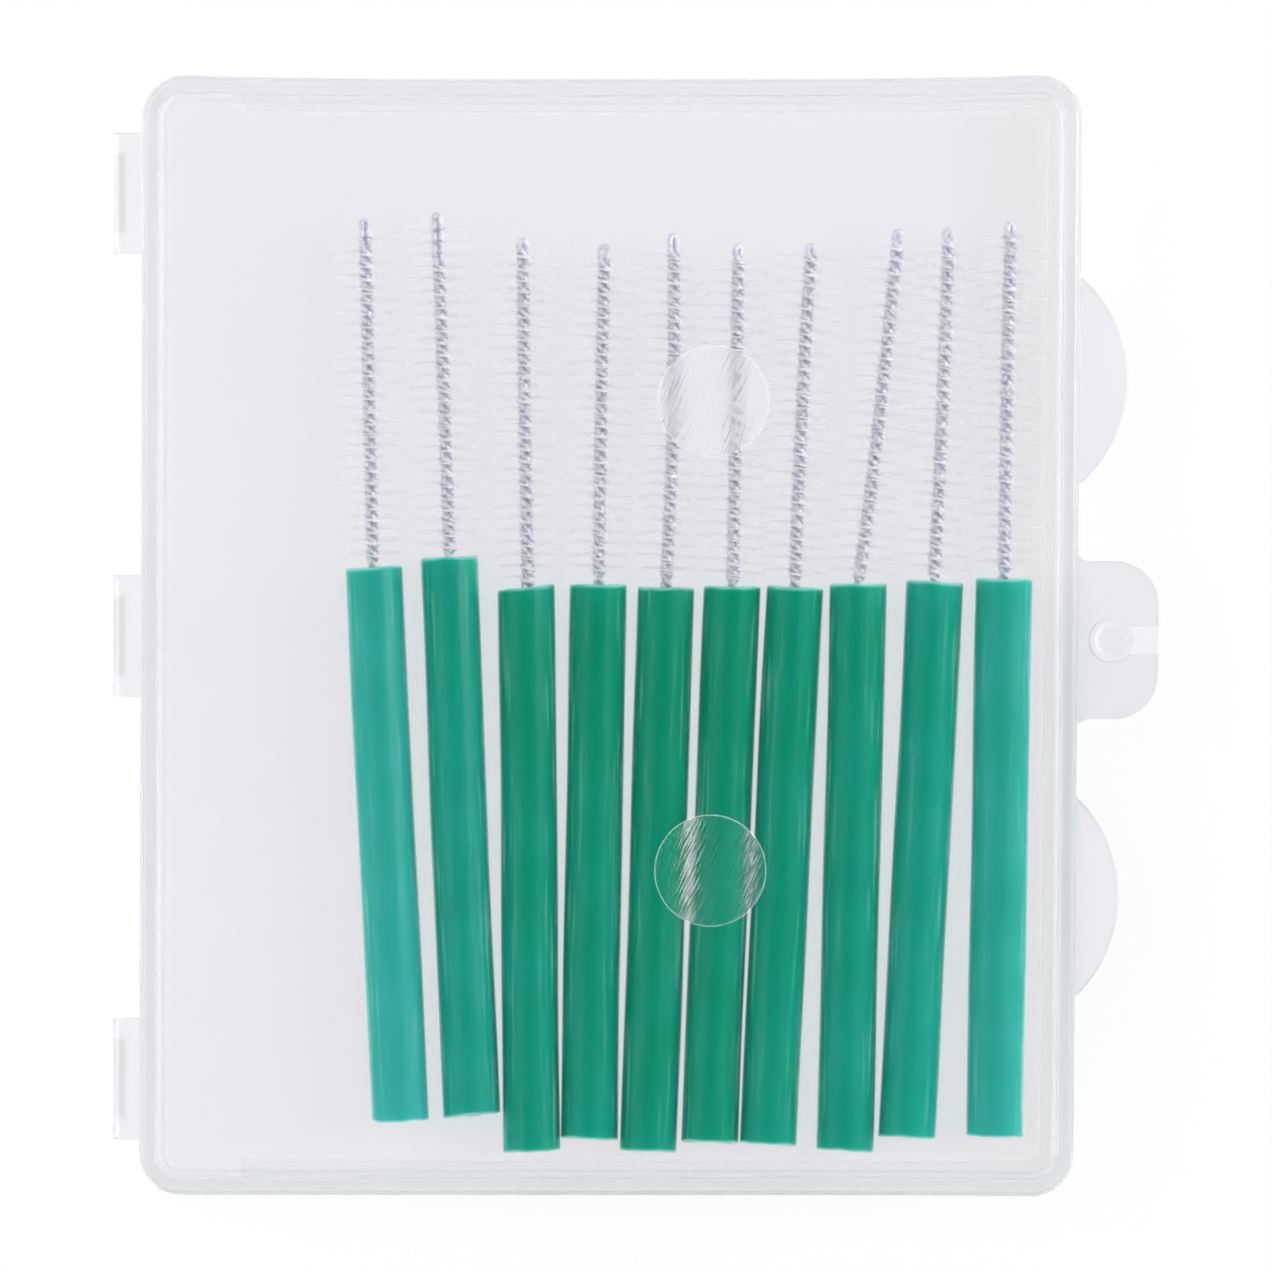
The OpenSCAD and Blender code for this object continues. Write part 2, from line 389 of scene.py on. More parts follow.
@dataclass(frozen=True)
class FilmPolypropylene(MilkyPolypropylene):
    """The same plastic drawn to a thin folding film, with painted shade in the middle of each fold."""

    name: str = "folded_polypropylene_film"
    colour: str = "#f3f2f6"
    fold_shade: str = "#e1e0e1"
    roughness: tuple[float, float] = (0.25, 0.4)
    body: float = 0.5
    pitch_mm: float = 27.22
    fold_shade_x_mm: float = -29.75
    fold_shade_y_mm: float = 2.45

    def tint(self, tree: bpy.types.NodeTree, place: Socket) -> dict[str, Socket]:
        """Gives the links of the shader's colour: a patch of painted shade at each fold.

        Args:
            tree: The material's node tree.
            place: Where each spot is on the object.

        Returns:
            The sockets that feed the shader, by input name.
        """
        axes = add(tree, "ShaderNodeSeparateXYZ", links={0: place}).outputs
        half = self.pitch_mm * MM / 2
        turn = add(tree, "ShaderNodeMath", {1: half, 2: -half}, {0: axes["Y"]}, operation="WRAP")
        away = add(tree, "ShaderNodeMath", links={0: turn.outputs[0]}, operation="ABSOLUTE")
        shares = []
        for source, edge, soft in ((away.outputs[0], self.fold_shade_y_mm, 0.12), (axes["X"], self.fold_shade_x_mm, 0.15)):
            shares.append(
                add(
                    tree,
                    "ShaderNodeMapRange",
                    {
                        "From Min": (edge - soft) * MM,
                        "From Max": (edge + soft) * MM,
                        "To Min": 1.0,
                        "To Max": 0.0,
                    },
                    {"Value": source},
                    interpolation_type="SMOOTHSTEP",
                ).outputs[0]
            )
        # Painted shade in the middle of each fold.
        patch = add(tree, "ShaderNodeMath", links={0: shares[0], 1: shares[1]}, operation="MULTIPLY")
        stops = [(0.0, linear(self.colour)), (1.0, linear(self.fold_shade))]
        tone = add(tree, "ShaderNodeValToRGB", links={0: patch.outputs[0]}, stops=stops)
        return {"Base Color": tone.outputs["Color"]}


@dataclass(frozen=True)
class SatinPolypropylene:
    """The same plastic where an ejector left its face matt, crossed by fine slanting hairlines.

    Its index is below the plastic's own, at which a face as rough as this comes out darker than the real one. Real
    hairlines are too fine to show in the render, so these are drawn wider and deeper.
    """

    name: str = "satin_polypropylene_mark"
    colour: str = "#ffffff"
    index: float = 1.2
    roughness: float = 0.36
    hairline_mm: float = 0.14
    hairline_depth_mm: float = 0.16
    slant_deg: float = -25.0
    stretch: float = 14.0

    def build(self) -> bpy.types.Material:
        """Makes the material.

        Returns:
            The finished material.
        """
        material = blank(self.name)
        tree = material.node_tree
        place = add(tree, "ShaderNodeTexCoord").outputs["Object"]
        turned = add(
            tree,
            "ShaderNodeMapping",
            {"Rotation": (0.0, 0.0, math.radians(self.slant_deg)), "Scale": (1.0, self.stretch, 1.0)},
            {"Vector": place},
            vector_type="TEXTURE",
        )
        lines = add(
            tree,
            "ShaderNodeTexNoise",
            {"Scale": 1 / (self.hairline_mm * MM), "Detail": 2.0, "Roughness": 0.6},
            {"Vector": turned.outputs[0]},
        )
        bump = add(
            tree,
            "ShaderNodeBump",
            {"Strength": 1.0, "Distance": self.hairline_depth_mm * MM},
            {"Height": lines.outputs["Fac"]},
        )
        shader = add(
            tree,
            "ShaderNodeBsdfGlass",
            {"Color": linear(self.colour), "IOR": self.index, "Roughness": self.roughness},
            {"Normal": bump.outputs[0]},
            distribution="BECKMANN",
        )
        lets_lamps_through(tree, shader.outputs[0])
        return material


@dataclass(frozen=True)
class EdgeHighlight:
    """The fine step round each matt mark, with a patchy painted highlight along it."""

    name: str = "painted_highlight_polypropylene_edge"
    colour: str = "#f7f7fa"
    cover: float = 0.32
    patchy: float = 0.25
    grain_mm: float = 0.4

    def build(self) -> bpy.types.Material:
        """Makes the material.

        Returns:
            The finished material.
        """
        material = blank(self.name)
        tree = material.node_tree
        place = add(tree, "ShaderNodeTexCoord").outputs["Object"]
        grain = add(tree, "ShaderNodeTexNoise", {"Scale": 1 / (self.grain_mm * MM), "Detail": 2.0}, {"Vector": place})
        cover = add(
            tree,
            "ShaderNodeMapRange",
            {"To Min": self.cover - self.patchy, "To Max": self.cover + self.patchy},
            {"Value": grain.outputs["Fac"]},
        )
        open_air = add(tree, "ShaderNodeBsdfTransparent")
        # Painted highlight: a patchy white film along the step.
        highlight = add(tree, "ShaderNodeBsdfDiffuse", {"Color": linear(self.colour), "Roughness": 0.5})
        mixed = add(
            tree, "ShaderNodeMixShader", links={0: cover.outputs[0], 1: open_air.outputs[0], 2: highlight.outputs[0]}
        )
        add(tree, "ShaderNodeOutputMaterial", links={"Surface": mixed.outputs[0]})
        return material


@dataclass(frozen=True)
class DrawnPolyethylene:
    """Polyethylene rod, drawn through a die: a cloudy green with faint lengthwise draw lines and a soft gloss.

    The rods near both sides of the case are drawn paler and bluer: painted light, the haze that lies over them there.
    """

    number: int
    painted_haze: float
    length: float
    radius: float = 1.75
    deep: str = "#008f6d"
    light: str = "#2aa89a"
    # Pale green of the painted glints on the flanks and of the paler rim at each cut end.
    cut: str = "#9fdccf"
    roughness: float = 0.14
    index: float = 1.51
    gloss: float = 0.07
    glow: tuple[float, float, float] = (0.3, 1.0, 0.8)
    glow_mm: float = 2.0
    cloud_mm: float = 5.0
    mouth_mm: float = 5.0
    line_mm: float = 0.25
    line_stretch: float = 0.03
    line_depth_mm: float = 0.012

    def tone(self, share: float) -> Colour:
        """Mixes the deep and the pale green.

        Args:
            share: How pale the colour is, from 0 for the deep green to 1 for the pale one.

        Returns:
            The colour in linear light.
        """
        red, *others = zip(linear(self.deep), linear(self.light))
        mixed = [first + (last - first) * share for first, last in others]
        return (red[1] * max(0.0, share) ** 2, *mixed)

    def marks(self, tree: bpy.types.NodeTree, place: Socket, lines: Socket) -> Socket:
        """Adds the pale marks: painted glints of the lamps in the draw lines along both flanks, and a paler rim at
        each cut end.

        Args:
            tree: The material's node tree.
            place: The rod's own map.
            lines: The draw lines' noise.

        Returns:
            The socket that says how pale a spot is.
        """
        axes = add(tree, "ShaderNodeSeparateXYZ", links={0: place}).outputs
        start = -self.number * MAP_STEP * MM
        turn = add(tree, "ShaderNodeMath", {1: start}, {0: axes["X"]}, operation="ADD")
        angle = add(tree, "ShaderNodeMath", {1: 1 / (self.radius * MM)}, {0: turn.outputs[0]}, operation="MULTIPLY")
        side = add(tree, "ShaderNodeMath", links={0: angle.outputs[0]}, operation="COSINE")
        flank = add(tree, "ShaderNodeMath", {1: 2.0}, {0: side.outputs[0]}, operation="POWER")
        # Painted highlight: pale glints in the draw lines, strongest on both flanks.
        glint_lines = add(
            tree, "ShaderNodeMapRange", {"From Min": 0.54, "From Max": 0.68, "To Max": 0.65}, {"Value": lines}
        )
        glints_and_rims = add(
            tree, "ShaderNodeMath", links={0: flank.outputs[0], 1: glint_lines.outputs[0]}, operation="MULTIPLY"
        ).outputs[0]
        # A paler rim along each cut end.
        for edge, inward in ((0.0, 0.12), (self.length, -0.2)):
            rim = add(
                tree,
                "ShaderNodeMapRange",
                {"From Min": (edge + inward) * MM, "From Max": edge * MM, "To Max": 0.55},
                {"Value": axes["Y"]},
            )
            glints_and_rims = add(
                tree, "ShaderNodeMath", links={0: glints_and_rims, 1: rim.outputs[0]}, operation="MAXIMUM"
            ).outputs[0]
        return glints_and_rims

    def build(self) -> bpy.types.Material:
        """Makes the material. It reads the rod's own map: round it, and along it from its tail, in metres.

        Returns:
            The finished material.
        """
        material = blank(f"drawn_green_polyethylene_{self.number:02d}")
        tree = material.node_tree
        place = add(tree, "ShaderNodeUVMap", uv_map="Along").outputs[0]
        cloud = add(
            tree, "ShaderNodeTexNoise", {"Scale": 1 / (self.cloud_mm * MM), "Detail": 4.0}, {"Vector": place}
        )
        blotch = add(tree, "ShaderNodeMapRange", {"From Min": 0.25, "From Max": 0.75}, {"Value": cloud.outputs["Fac"]})
        along = add(tree, "ShaderNodeSeparateXYZ", links={0: place}).outputs["Y"]
        # Painted light: each rod is drawn paler towards its tail.
        tail = add(
            tree, "ShaderNodeMapRange", {"From Max": self.length * MM, "To Min": 1.0, "To Max": 0.0}, {"Value": along}
        )
        patch = add(tree, "ShaderNodeMath", links={0: blotch.outputs[0], 1: tail.outputs[0]}, operation="ADD")
        half = add(tree, "ShaderNodeMath", {1: 0.5}, {0: patch.outputs[0]}, operation="MULTIPLY")
        mouth = add(
            tree,
            "ShaderNodeMapRange",
            {
                "From Min": (self.length - self.mouth_mm) * MM,
                "From Max": self.length * MM,
                "To Max": 0.35 * (1 - self.painted_haze),
            },
            {"Value": along},
            interpolation_type="SMOOTHSTEP",
        )
        whole = add(tree, "ShaderNodeMath", links={0: half.outputs[0], 1: mouth.outputs[0]}, operation="ADD")
        stops = [(0.15, self.tone(self.painted_haze - 0.12)), (1.0, self.tone(self.painted_haze + 0.4))]
        tone = add(tree, "ShaderNodeValToRGB", links={0: whole.outputs[0]}, stops=stops).outputs["Color"]
        lengthwise = add(tree, "ShaderNodeMapping", {"Scale": (1.0, self.line_stretch, 1.0)}, {"Vector": place})
        lines = add(
            tree,
            "ShaderNodeTexNoise",
            {"Scale": 1 / (self.line_mm * MM), "Detail": 3.0, "Roughness": 0.6},
            {"Vector": lengthwise.outputs[0]},
        )
        pale = self.marks(tree, place, lines.outputs["Fac"])
        colour = add(
            tree,
            "ShaderNodeMix",
            {7: linear(self.cut)},
            {0: pale, 6: tone},
            data_type="RGBA",
        ).outputs[2]
        bump = add(
            tree,
            "ShaderNodeBump",
            {"Strength": 1.0, "Distance": self.line_depth_mm * MM},
            {"Height": lines.outputs["Fac"]},
        )
        shader = add(
            tree,
            "ShaderNodeBsdfPrincipled",
            {
                "IOR": self.index,
                "Roughness": self.roughness,
                "Specular IOR Level": self.gloss,
                "Subsurface Weight": 1.0,
                "Subsurface Radius": self.glow,
                "Subsurface Scale": self.glow_mm * MM,
            },
            {"Base Color": colour, "Normal": bump.outputs[0]},
        )
        add(tree, "ShaderNodeOutputMaterial", links={"Surface": shader.outputs[0]})
        return material


@dataclass(frozen=True)
class StainlessWire:
    """Fine stainless steel wire, twisted: its draw finish is satin, grey, and mottled by the twisting."""

    name: str = "twisted_stainless_wire"
    tones: tuple[str, str] = ("#b9b8c6", "#efeef4")
    roughness: float = 0.55
    metallic: float = 0.4
    grain_mm: float = 0.12

    def build(self) -> bpy.types.Material:
        """Makes the material.

        Returns:
            The finished material.
        """
        material = blank(self.name)
        tree = material.node_tree
        place = add(tree, "ShaderNodeTexCoord").outputs["Object"]
        grain = add(tree, "ShaderNodeTexNoise", {"Scale": 1 / (self.grain_mm * MM), "Detail": 2.0}, {"Vector": place})
        stops = [(0.35, linear(self.tones[0])), (0.65, linear(self.tones[1]))]
        colour = add(tree, "ShaderNodeValToRGB", links={0: grain.outputs["Fac"]}, stops=stops).outputs["Color"]
        rough = add(
            tree,
            "ShaderNodeMapRange",
            {"To Min": self.roughness - 0.08, "To Max": self.roughness + 0.1},
            {"Value": grain.outputs["Fac"]},
        )
        shader = add(
            tree,
            "ShaderNodeBsdfPrincipled",
            {"Metallic": self.metallic},
            {"Base Color": colour, "Roughness": rough.outputs[0]},
        )
        add(tree, "ShaderNodeOutputMaterial", links={"Surface": shader.outputs[0]})
        return material


@dataclass(frozen=True)
class ClearNylon:
    """Extruded nylon filament: so fine and pale that it shows only as a faint streak, here greyer and there whiter."""

    name: str = "pale_nylon_filament"
    tones: tuple[str, str] = ("#cfced6", "#f7f7fa")
    cover: float = 0.06
    index: float = 1.53
    roughness: float = 0.3
    patch_mm: float = 0.5

    def build(self) -> bpy.types.Material:
        """Makes the material.

        Returns:
            The finished material.
        """
        material = blank(self.name)
        tree = material.node_tree
        place = add(tree, "ShaderNodeTexCoord").outputs["Object"]
        tone = add(tree, "ShaderNodeTexNoise", {"Scale": 1 / (self.patch_mm * MM), "Detail": 1.0}, {"Vector": place})
        stops = [(0.35, linear(self.tones[0])), (0.65, linear(self.tones[1]))]
        colour = add(tree, "ShaderNodeValToRGB", links={0: tone.outputs["Fac"]}, stops=stops).outputs["Color"]
        shader = add(
            tree,
            "ShaderNodeBsdfPrincipled",
            {"IOR": self.index, "Roughness": self.roughness, "Alpha": self.cover},
            {"Base Color": colour},
        )
        add(tree, "ShaderNodeOutputMaterial", links={"Surface": shader.outputs[0]})
        return material


@dataclass(frozen=True)
class NylonRoots(ClearNylon):
    """The same filament where it is crushed white between the strands."""

    name: str = "crushed_nylon_root"
    tones: tuple[str, str] = ("#f0f0f4", "#ffffff")
    cover: float = 0.9


@dataclass(frozen=True)
class WhiteTable:
    """Matt white table, which the camera, gloss and clear plastic see as plain white with the object's soft shadow."""

    name: str = "matt_white_table"
    shadow_share: float = 0.18

    def build(self) -> bpy.types.Material:
        """Makes the material.

        Returns:
            The finished material.
        """
        material = blank(self.name)
        tree = material.node_tree
        path = add(tree, "ShaderNodeLightPath")
        seen = path.outputs["Is Camera Ray"]
        for kind in ("Is Glossy Ray", "Is Transmission Ray"):
            seen = add(
                tree, "ShaderNodeMath", links={0: seen, 1: path.outputs[kind]}, operation="MAXIMUM"
            ).outputs[0]
        share = add(
            tree, "ShaderNodeMath", {1: 1 - self.shadow_share}, {0: seen}, operation="MULTIPLY"
        )
        matt = add(tree, "ShaderNodeBsdfDiffuse", {"Color": linear("#fafafa")})
        white = add(tree, "ShaderNodeEmission", {"Color": linear("#ffffff"), "Strength": 1.0})
        mixed = add(
            tree, "ShaderNodeMixShader", links={0: share.outputs[0], 1: matt.outputs[0], 2: white.outputs[0]}
        )
        add(tree, "ShaderNodeOutputMaterial", links={"Surface": mixed.outputs[0]})
        return material


# Shaping


def everything(mesh: bmesh.types.BMesh) -> list:
    """Lists all the points, edges and faces of a mesh."""
    return mesh.verts[:] + mesh.edges[:] + mesh.faces[:]


def points(made: Iterable) -> list:
    """Picks the points out of what an operator made."""
    return [g for g in made if isinstance(g, bmesh.types.BMVert)]


def edges(made: Iterable) -> list:
    """Picks the edges out of what an operator made."""
    return [g for g in made if isinstance(g, bmesh.types.BMEdge)]


def rim_of(ring: Iterable[bmesh.types.BMVert]) -> list:
    """Lists the edges of some points, in a steady order."""
    return list(dict.fromkeys(e for v in ring for e in v.link_edges))


def store(mesh: bmesh.types.BMesh, name: str) -> bpy.types.Mesh:
    """Stores a mesh that was being shaped, and frees it.

    Args:
        mesh: The mesh.
        name: What it is called.

    Returns:
        The stored mesh.
    """
    data = bpy.data.meshes.new(name)
    mesh.to_mesh(data)
    mesh.free()
    return data


def stand(name: str, data: bpy.types.ID) -> bpy.types.Object:
    """Puts something into the scene.

    Args:
        name: What it is called.
        data: Its mesh, curve, light or camera.

    Returns:
        The new object.
    """
    item = bpy.data.objects.new(name, data)
    bpy.context.scene.collection.objects.link(item)
    return item


class Form:
    """A piece being shaped in millimetres by mesh operators."""

    def __init__(self) -> None:
        """Starts with an empty mesh."""
        self.mesh = bmesh.new()

    @classmethod
    def plate(cls, corners: Iterable[tuple[float, float, float]], low: float, high: float, steps: int = 8) -> "Form":
        """Makes a flat plate with rounded corners.

        Args:
            corners: X, Y and rounding radius of each corner, in order.
            low: Height of its lower face.
            high: Height of its upper face.
            steps: Segments in each rounded corner.

        Returns:
            The closed plate.
        """
        form = cls()
        mesh = form.mesh
        corners = list(corners)
        verts = [mesh.verts.new((x, y, low)) for x, y, _ in corners]
        mesh.faces.new(verts)
        for vert, (_, _, radius) in zip(verts, corners):
            if radius > 0:
                form.bevel([vert], radius, steps, "VERTICES")
        raised = bmesh.ops.extrude_face_region(mesh, geom=mesh.faces[:], use_keep_orig=True)
        bmesh.ops.translate(mesh, verts=points(raised["geom"]), vec=(0, 0, high - low))
        bmesh.ops.recalc_face_normals(mesh, faces=mesh.faces[:])
        return form

    @classmethod
    def drum(cls, centre: Point, radius: float, low: float, high: float, steps: int = 48) -> "Form":
        """Makes a round plate.

        Args:
            centre: X and Y of its middle.
            radius: Its radius.
            low: Height of its lower face.
            high: Height of its upper face.
            steps: Segments round it.

        Returns:
            The closed drum.
        """
        form = cls()
        form.rod(radius, high - low, steps, Matrix.Translation((centre[0], centre[1], (low + high) / 2)))
        return form

    def rod(self, radius: float, length: float, steps: int, place: Matrix) -> None:
        """Adds a closed rod.

        Args:
            radius: Its radius.
            length: Its length.
            steps: Segments round it.
            place: Its middle, with the rod along its Z.
        """
        bmesh.ops.create_cone(
            self.mesh, cap_ends=True, segments=steps, radius1=radius, radius2=radius, depth=length, matrix=place
        )

    def bevel(self, geometry: list, radius: float, steps: int, affect: str) -> None:
        """Rounds points or edges.

        Args:
            geometry: The points or edges.
            radius: The radius.
            steps: Segments across each rounded place.
            affect: "VERTICES" or "EDGES".
        """
        bmesh.ops.bevel(
            self.mesh,
            geom=geometry,
            offset=radius,
            offset_type="OFFSET",
            affect=affect,
            segments=steps,
            profile=0.5,
            material=-1,
            clamp_overlap=affect == "EDGES",
        )

    def sharp_at(self, *heights: float, within: float = 0.02) -> list:
        """Lists the level sharp edges at some heights.

        Args:
            heights: The heights of both ends of each edge.
            within: How far off they may be.

        Returns:
            The edges.
        """
        return [
            e
            for height in heights
            for e in self.mesh.edges
            if all(abs(v.co.z - height) < within for v in e.verts)
            and len(e.link_faces) == 2
            and e.calc_face_angle(0) > math.radians(35)
        ]

    def soften(self, heights: Union[float, tuple], radius: float, steps: int = 3) -> "Form":
        """Rounds the level sharp edges at a height.

        Args:
            heights: The height, or a tuple of some.
            radius: The radius.
            steps: Segments across each rounded edge.

        Returns:
            This form.
        """
        heights = heights if isinstance(heights, tuple) else (heights,)
        self.bevel(self.sharp_at(*heights), radius, steps, "EDGES")
        return self

    def slice(self, place: Vector, normal: Vector, **settings: object) -> dict:
        """Cuts the mesh along a plane."""
        mesh = self.mesh
        return bmesh.ops.bisect_plane(mesh, geom=everything(mesh), plane_co=place, plane_no=normal, **settings)

    def carve(self, tool: "Form", how: Carve) -> "Form":
        """Adds or cuts the space of another form, which is used up.

        Args:
            tool: The other form.
            how: What is done with it.

        Returns:
            This form.
        """
        holders = [stand("carving", store(form.mesh, "carving")) for form in (self, tool)]
        carving = holders[0].modifiers.new("carve", "BOOLEAN")
        carving.operation, carving.object, carving.solver = how.value, holders[1], "EXACT"
        result = holders[0].evaluated_get(bpy.context.evaluated_depsgraph_get()).to_mesh()
        self.mesh = bmesh.new()
        self.mesh.from_mesh(result)
        for holder in holders:
            data = holder.data
            bpy.data.objects.remove(holder)
            bpy.data.meshes.remove(data)
        mesh = self.mesh
        bmesh.ops.remove_doubles(mesh, verts=mesh.verts[:], dist=0.0005)
        bmesh.ops.dissolve_limit(mesh, angle_limit=math.radians(0.5), verts=mesh.verts[:], edges=mesh.edges[:])
        return self

    def move(self, change: Callable[[Vector], Vector]) -> None:
        """Moves every point by a rule that gives its new place."""
        for vert in self.mesh.verts:
            vert.co = change(vert.co)

    def finish(self, name: str, slot: Slot, materials: list, weighted: bool = False) -> bpy.types.Object:
        """Turns the form into a finished piece in metres.

        Args:
            name: The piece's name.
            slot: Not used.
            materials: Its materials, in the order that its faces number them.
            weighted: True if large flat faces keep their own normals beside rounded edges.

        Returns:
            The piece.
        """
        bmesh.ops.scale(self.mesh, vec=(MM, MM, MM), verts=self.mesh.verts[:])
        for face in self.mesh.faces:
            face.smooth = True
        data = store(self.mesh, name)
        for material in materials:
            data.materials.append(material)
        piece = stand(name, data)
        if weighted:
            normals = piece.modifiers.new("flat_faces", "WEIGHTED_NORMAL")
            normals.mode, normals.weight = "FACE_AREA", 80
        LOG.info("%s: %d faces", name, len(data.polygons))
        return piece


# The case


@dataclass
class HingedCase:
    """The tray, the lid and the three straps that join them, moulded in one from clear polypropylene."""

    width: float = 57.505
    length: float = 68.59
    height: float = 7.4
    corner: float = 2.6
    wall: float = 1.0
    panel: float = 0.9
    rim_z: float = 3.675
    lid_z: float = 3.725
    foot_radius: float = 0.45
    room_radius: float = 0.6
    rim_radius: float = 0.1
    lip_gap: float = 0.03
    lip: float = 1.0
    lip_height: float = 1.2
    lip_start: float = 6.3
    lip_corner: float = 1.0
    lip_radius: float = 0.22
    tab: float = 0.9
    tab_radius: float = 0.12
    latch_y: float = -0.26
    latch_width: float = 9.7
    latch_reach: float = 5.0
    latch_corner: float = 2.7
    latch_flare: float = 0.45
    stud_reach: float = 2.15
    stud: float = 2.1
    stud_gap: float = 0.3
    stud_rise: float = 0.15
    stud_radius: float = 0.3
    shade_ring_low: float = 3.5
    shade_ring_rise: float = 0.02
    slot: float = 1.7
    finger_radius: float = 8.5
    finger_reaches: Point = (2.95, 2.7)
    finger_places: Point = (15.67, -16.04)
    mark: float = 6.9
    mark_depth: float = 0.1
    mark_offset: float = 6.3
    mark_pitch: float = 28.8
    strap_width: float = 7.45
    strap_reach: float = 1.7
    strap_pitch: float = 27.22
    strap_gap: float = 0.06
    strap_radius: float = 0.08
    fold: float = 0.4
    film: Point = (0.28, 0.46)
    lean: Point = (0.2, 0.095)
    bow: Point = (-0.13, 0.23)
    bulge: float = 0.12
    plastics: list = field(default_factory=list, repr=False)

    @property
    def edge_x(self) -> float:
        """Half the width."""
        return self.width / 2

    @property
    def edge_y(self) -> float:
        """Half the length."""
        return self.length / 2

    @property
    def stud_place(self) -> Point:
        """X and Y of the stud's middle."""
        return (self.edge_x + self.stud_reach, self.latch_y)

    @property
    def hole(self) -> float:
        """Radius of the stud's hole."""
        return self.stud / 2 + self.stud_gap

    def block(self, inset: float, corner: float, low: float, high: float) -> Form:
        """Makes a block with the case's outline, drawn in.

        Args:
            inset: How far it is drawn in.
            corner: Radius of its corners.
            low: Height of its lower face.
            high: Height of its upper face.

        Returns:
            The block.
        """
        x, y = self.edge_x - inset, self.edge_y - inset
        return Form.plate([(x, -y, corner), (x, y, corner), (-x, y, corner), (-x, -y, corner)], low, high)

    def latch_tab(self, low: float) -> Form:
        """Makes a latch tab that stands out of the wall.

        Args:
            low: Height of its lower face.

        Returns:
            The tab.
        """
        x0, x1, x2 = self.edge_x - self.wall / 2, self.edge_x, self.edge_x + self.latch_reach
        y, middle, flare = self.latch_width / 2, self.latch_y, self.latch_flare
        half = [(x0, y + flare, 0), (x1 - 0.01, y + flare, 0), (x1 + flare * 0.6, y, 0.5), (x2, y, self.latch_corner)]
        corners = [(x, -y + middle, r) for x, y, r in half] + [(x, y + middle, r) for x, y, r in half[::-1]]
        return Form.plate(corners, low, low + self.tab, 10).soften((low, low + self.tab), self.tab_radius)

    def finger_tab(self, number: int, low: float) -> Form:
        """Makes a finger tab, which is a slice of a disc.

        Args:
            number: 0 for the lid's tab or 1 for the tray's.
            low: Height of its lower face.

        Returns:
            The tab.
        """
        middle = (self.edge_x + self.finger_reaches[number] - self.finger_radius, self.finger_places[number])
        form = Form.drum(middle, self.finger_radius, low, low + self.tab, 160)
        form.soften((low, low + self.tab), self.tab_radius)
        cut = form.slice((self.edge_x - self.wall / 2, 0, 0), (1, 0, 0), clear_inner=True)["geom_cut"]
        bmesh.ops.holes_fill(form.mesh, edges=edges(cut))
        bmesh.ops.recalc_face_normals(form.mesh, faces=form.mesh.faces[:])
        return form

    def warp(self, point: Vector) -> Vector:
        """Gives the moulding's slight lean and hollow sides, as a thin moulding has them once it has cooled.

        Args:
            point: A point of the straight moulding.

        Returns:
            Where it lies.
        """
        share_x, share_y = point.x / self.edge_x, point.y / self.edge_y
        far = min(1.0, abs(share_x) / 0.9) ** 4
        rise = max(0.0, share_y) ** 3 * (self.bow[0] + self.bow[1] * far)
        rise -= max(0.0, -share_y) ** 3 * self.bulge * max(0.0, share_x) ** 4
        return Vector((point.x + (self.lean[0] + self.lean[1] * share_x) * share_y, point.y + rise, point.z))

    def dress(self, form: Form, *levels: float) -> None:
        """Gives each face its plastic: the polished panels, and the milky walls, rims, grips and stud.

        Args:
            form: The tray or the lid.
            levels: The heights of its polished faces.
        """
        for x in [self.edge_x + 0.01] + [self.edge_x * k / 4 for k in range(-3, 4)]:
            form.slice((x, 0, 0), (1, 0, 0))
        for face in form.mesh.faces:
            middle, normal = face.calc_center_median(), face.normal
            plastic = Plastic.WALL
            if middle.x > self.edge_x:
                plastic = self.tab_plastic(middle, normal)
            elif abs(normal.z) > 0.97 and min(abs(middle.z - z) for z in levels) < 0.02:
                plastic = Plastic.PANEL
            elif abs(normal.z) < 0.97:
                inside = abs(middle.x) < self.edge_x - 0.5 and abs(middle.y) < self.edge_y - 0.5
                plastic = Plastic.SIDE if inside else Plastic.RIND
                if normal.z > 0.1 and self.rim_z + 0.1 < middle.z < self.lid_z + self.lip_height + 0.3:
                    plastic = Plastic.WALL
            face.material_index = int(plastic)

    def tab_plastic(self, middle: Vector, normal: Vector) -> Plastic:
        """Gives the plastic of a face of a tab.

        Args:
            middle: The face's middle.
            normal: The way it looks.

        Returns:
            Its plastic.
        """
        away = Vector((middle.x - self.edge_x - self.stud_reach, middle.y - self.latch_y))
        if abs(middle.y) > self.latch_width:
            return Plastic.GRIP
        # Painted shade: the top of the thin ring round the stud, in the gap under the lid's hole.
        if middle.z < self.rim_z + 0.03:
            # Painted light: the rest of the tray's tab top, seen through the lid's tab, is drawn paler.
            return Plastic.SHADE if middle.z > self.rim_z + 0.015 else Plastic.TAB
        # The stud's top is drawn greyer, and its right and lower side carries painted shade.
        if middle.z > self.lid_z + self.tab + 0.01:
            return Plastic.SHADE if normal.z > 0.97 or away.x - away.y > 0 else Plastic.GRIP
        # Painted shade on the left and lower edge of the stud's hole.
        if away.length < self.hole + 0.3 and abs(normal.z) < 0.97 and away.x + away.y < 0.4:
            return Plastic.SHADE
        if away.length < self.latch_width / 2 and middle.x < self.edge_x + self.latch_reach - 0.15:
            return Plastic.SIDE
        return Plastic.GRIP

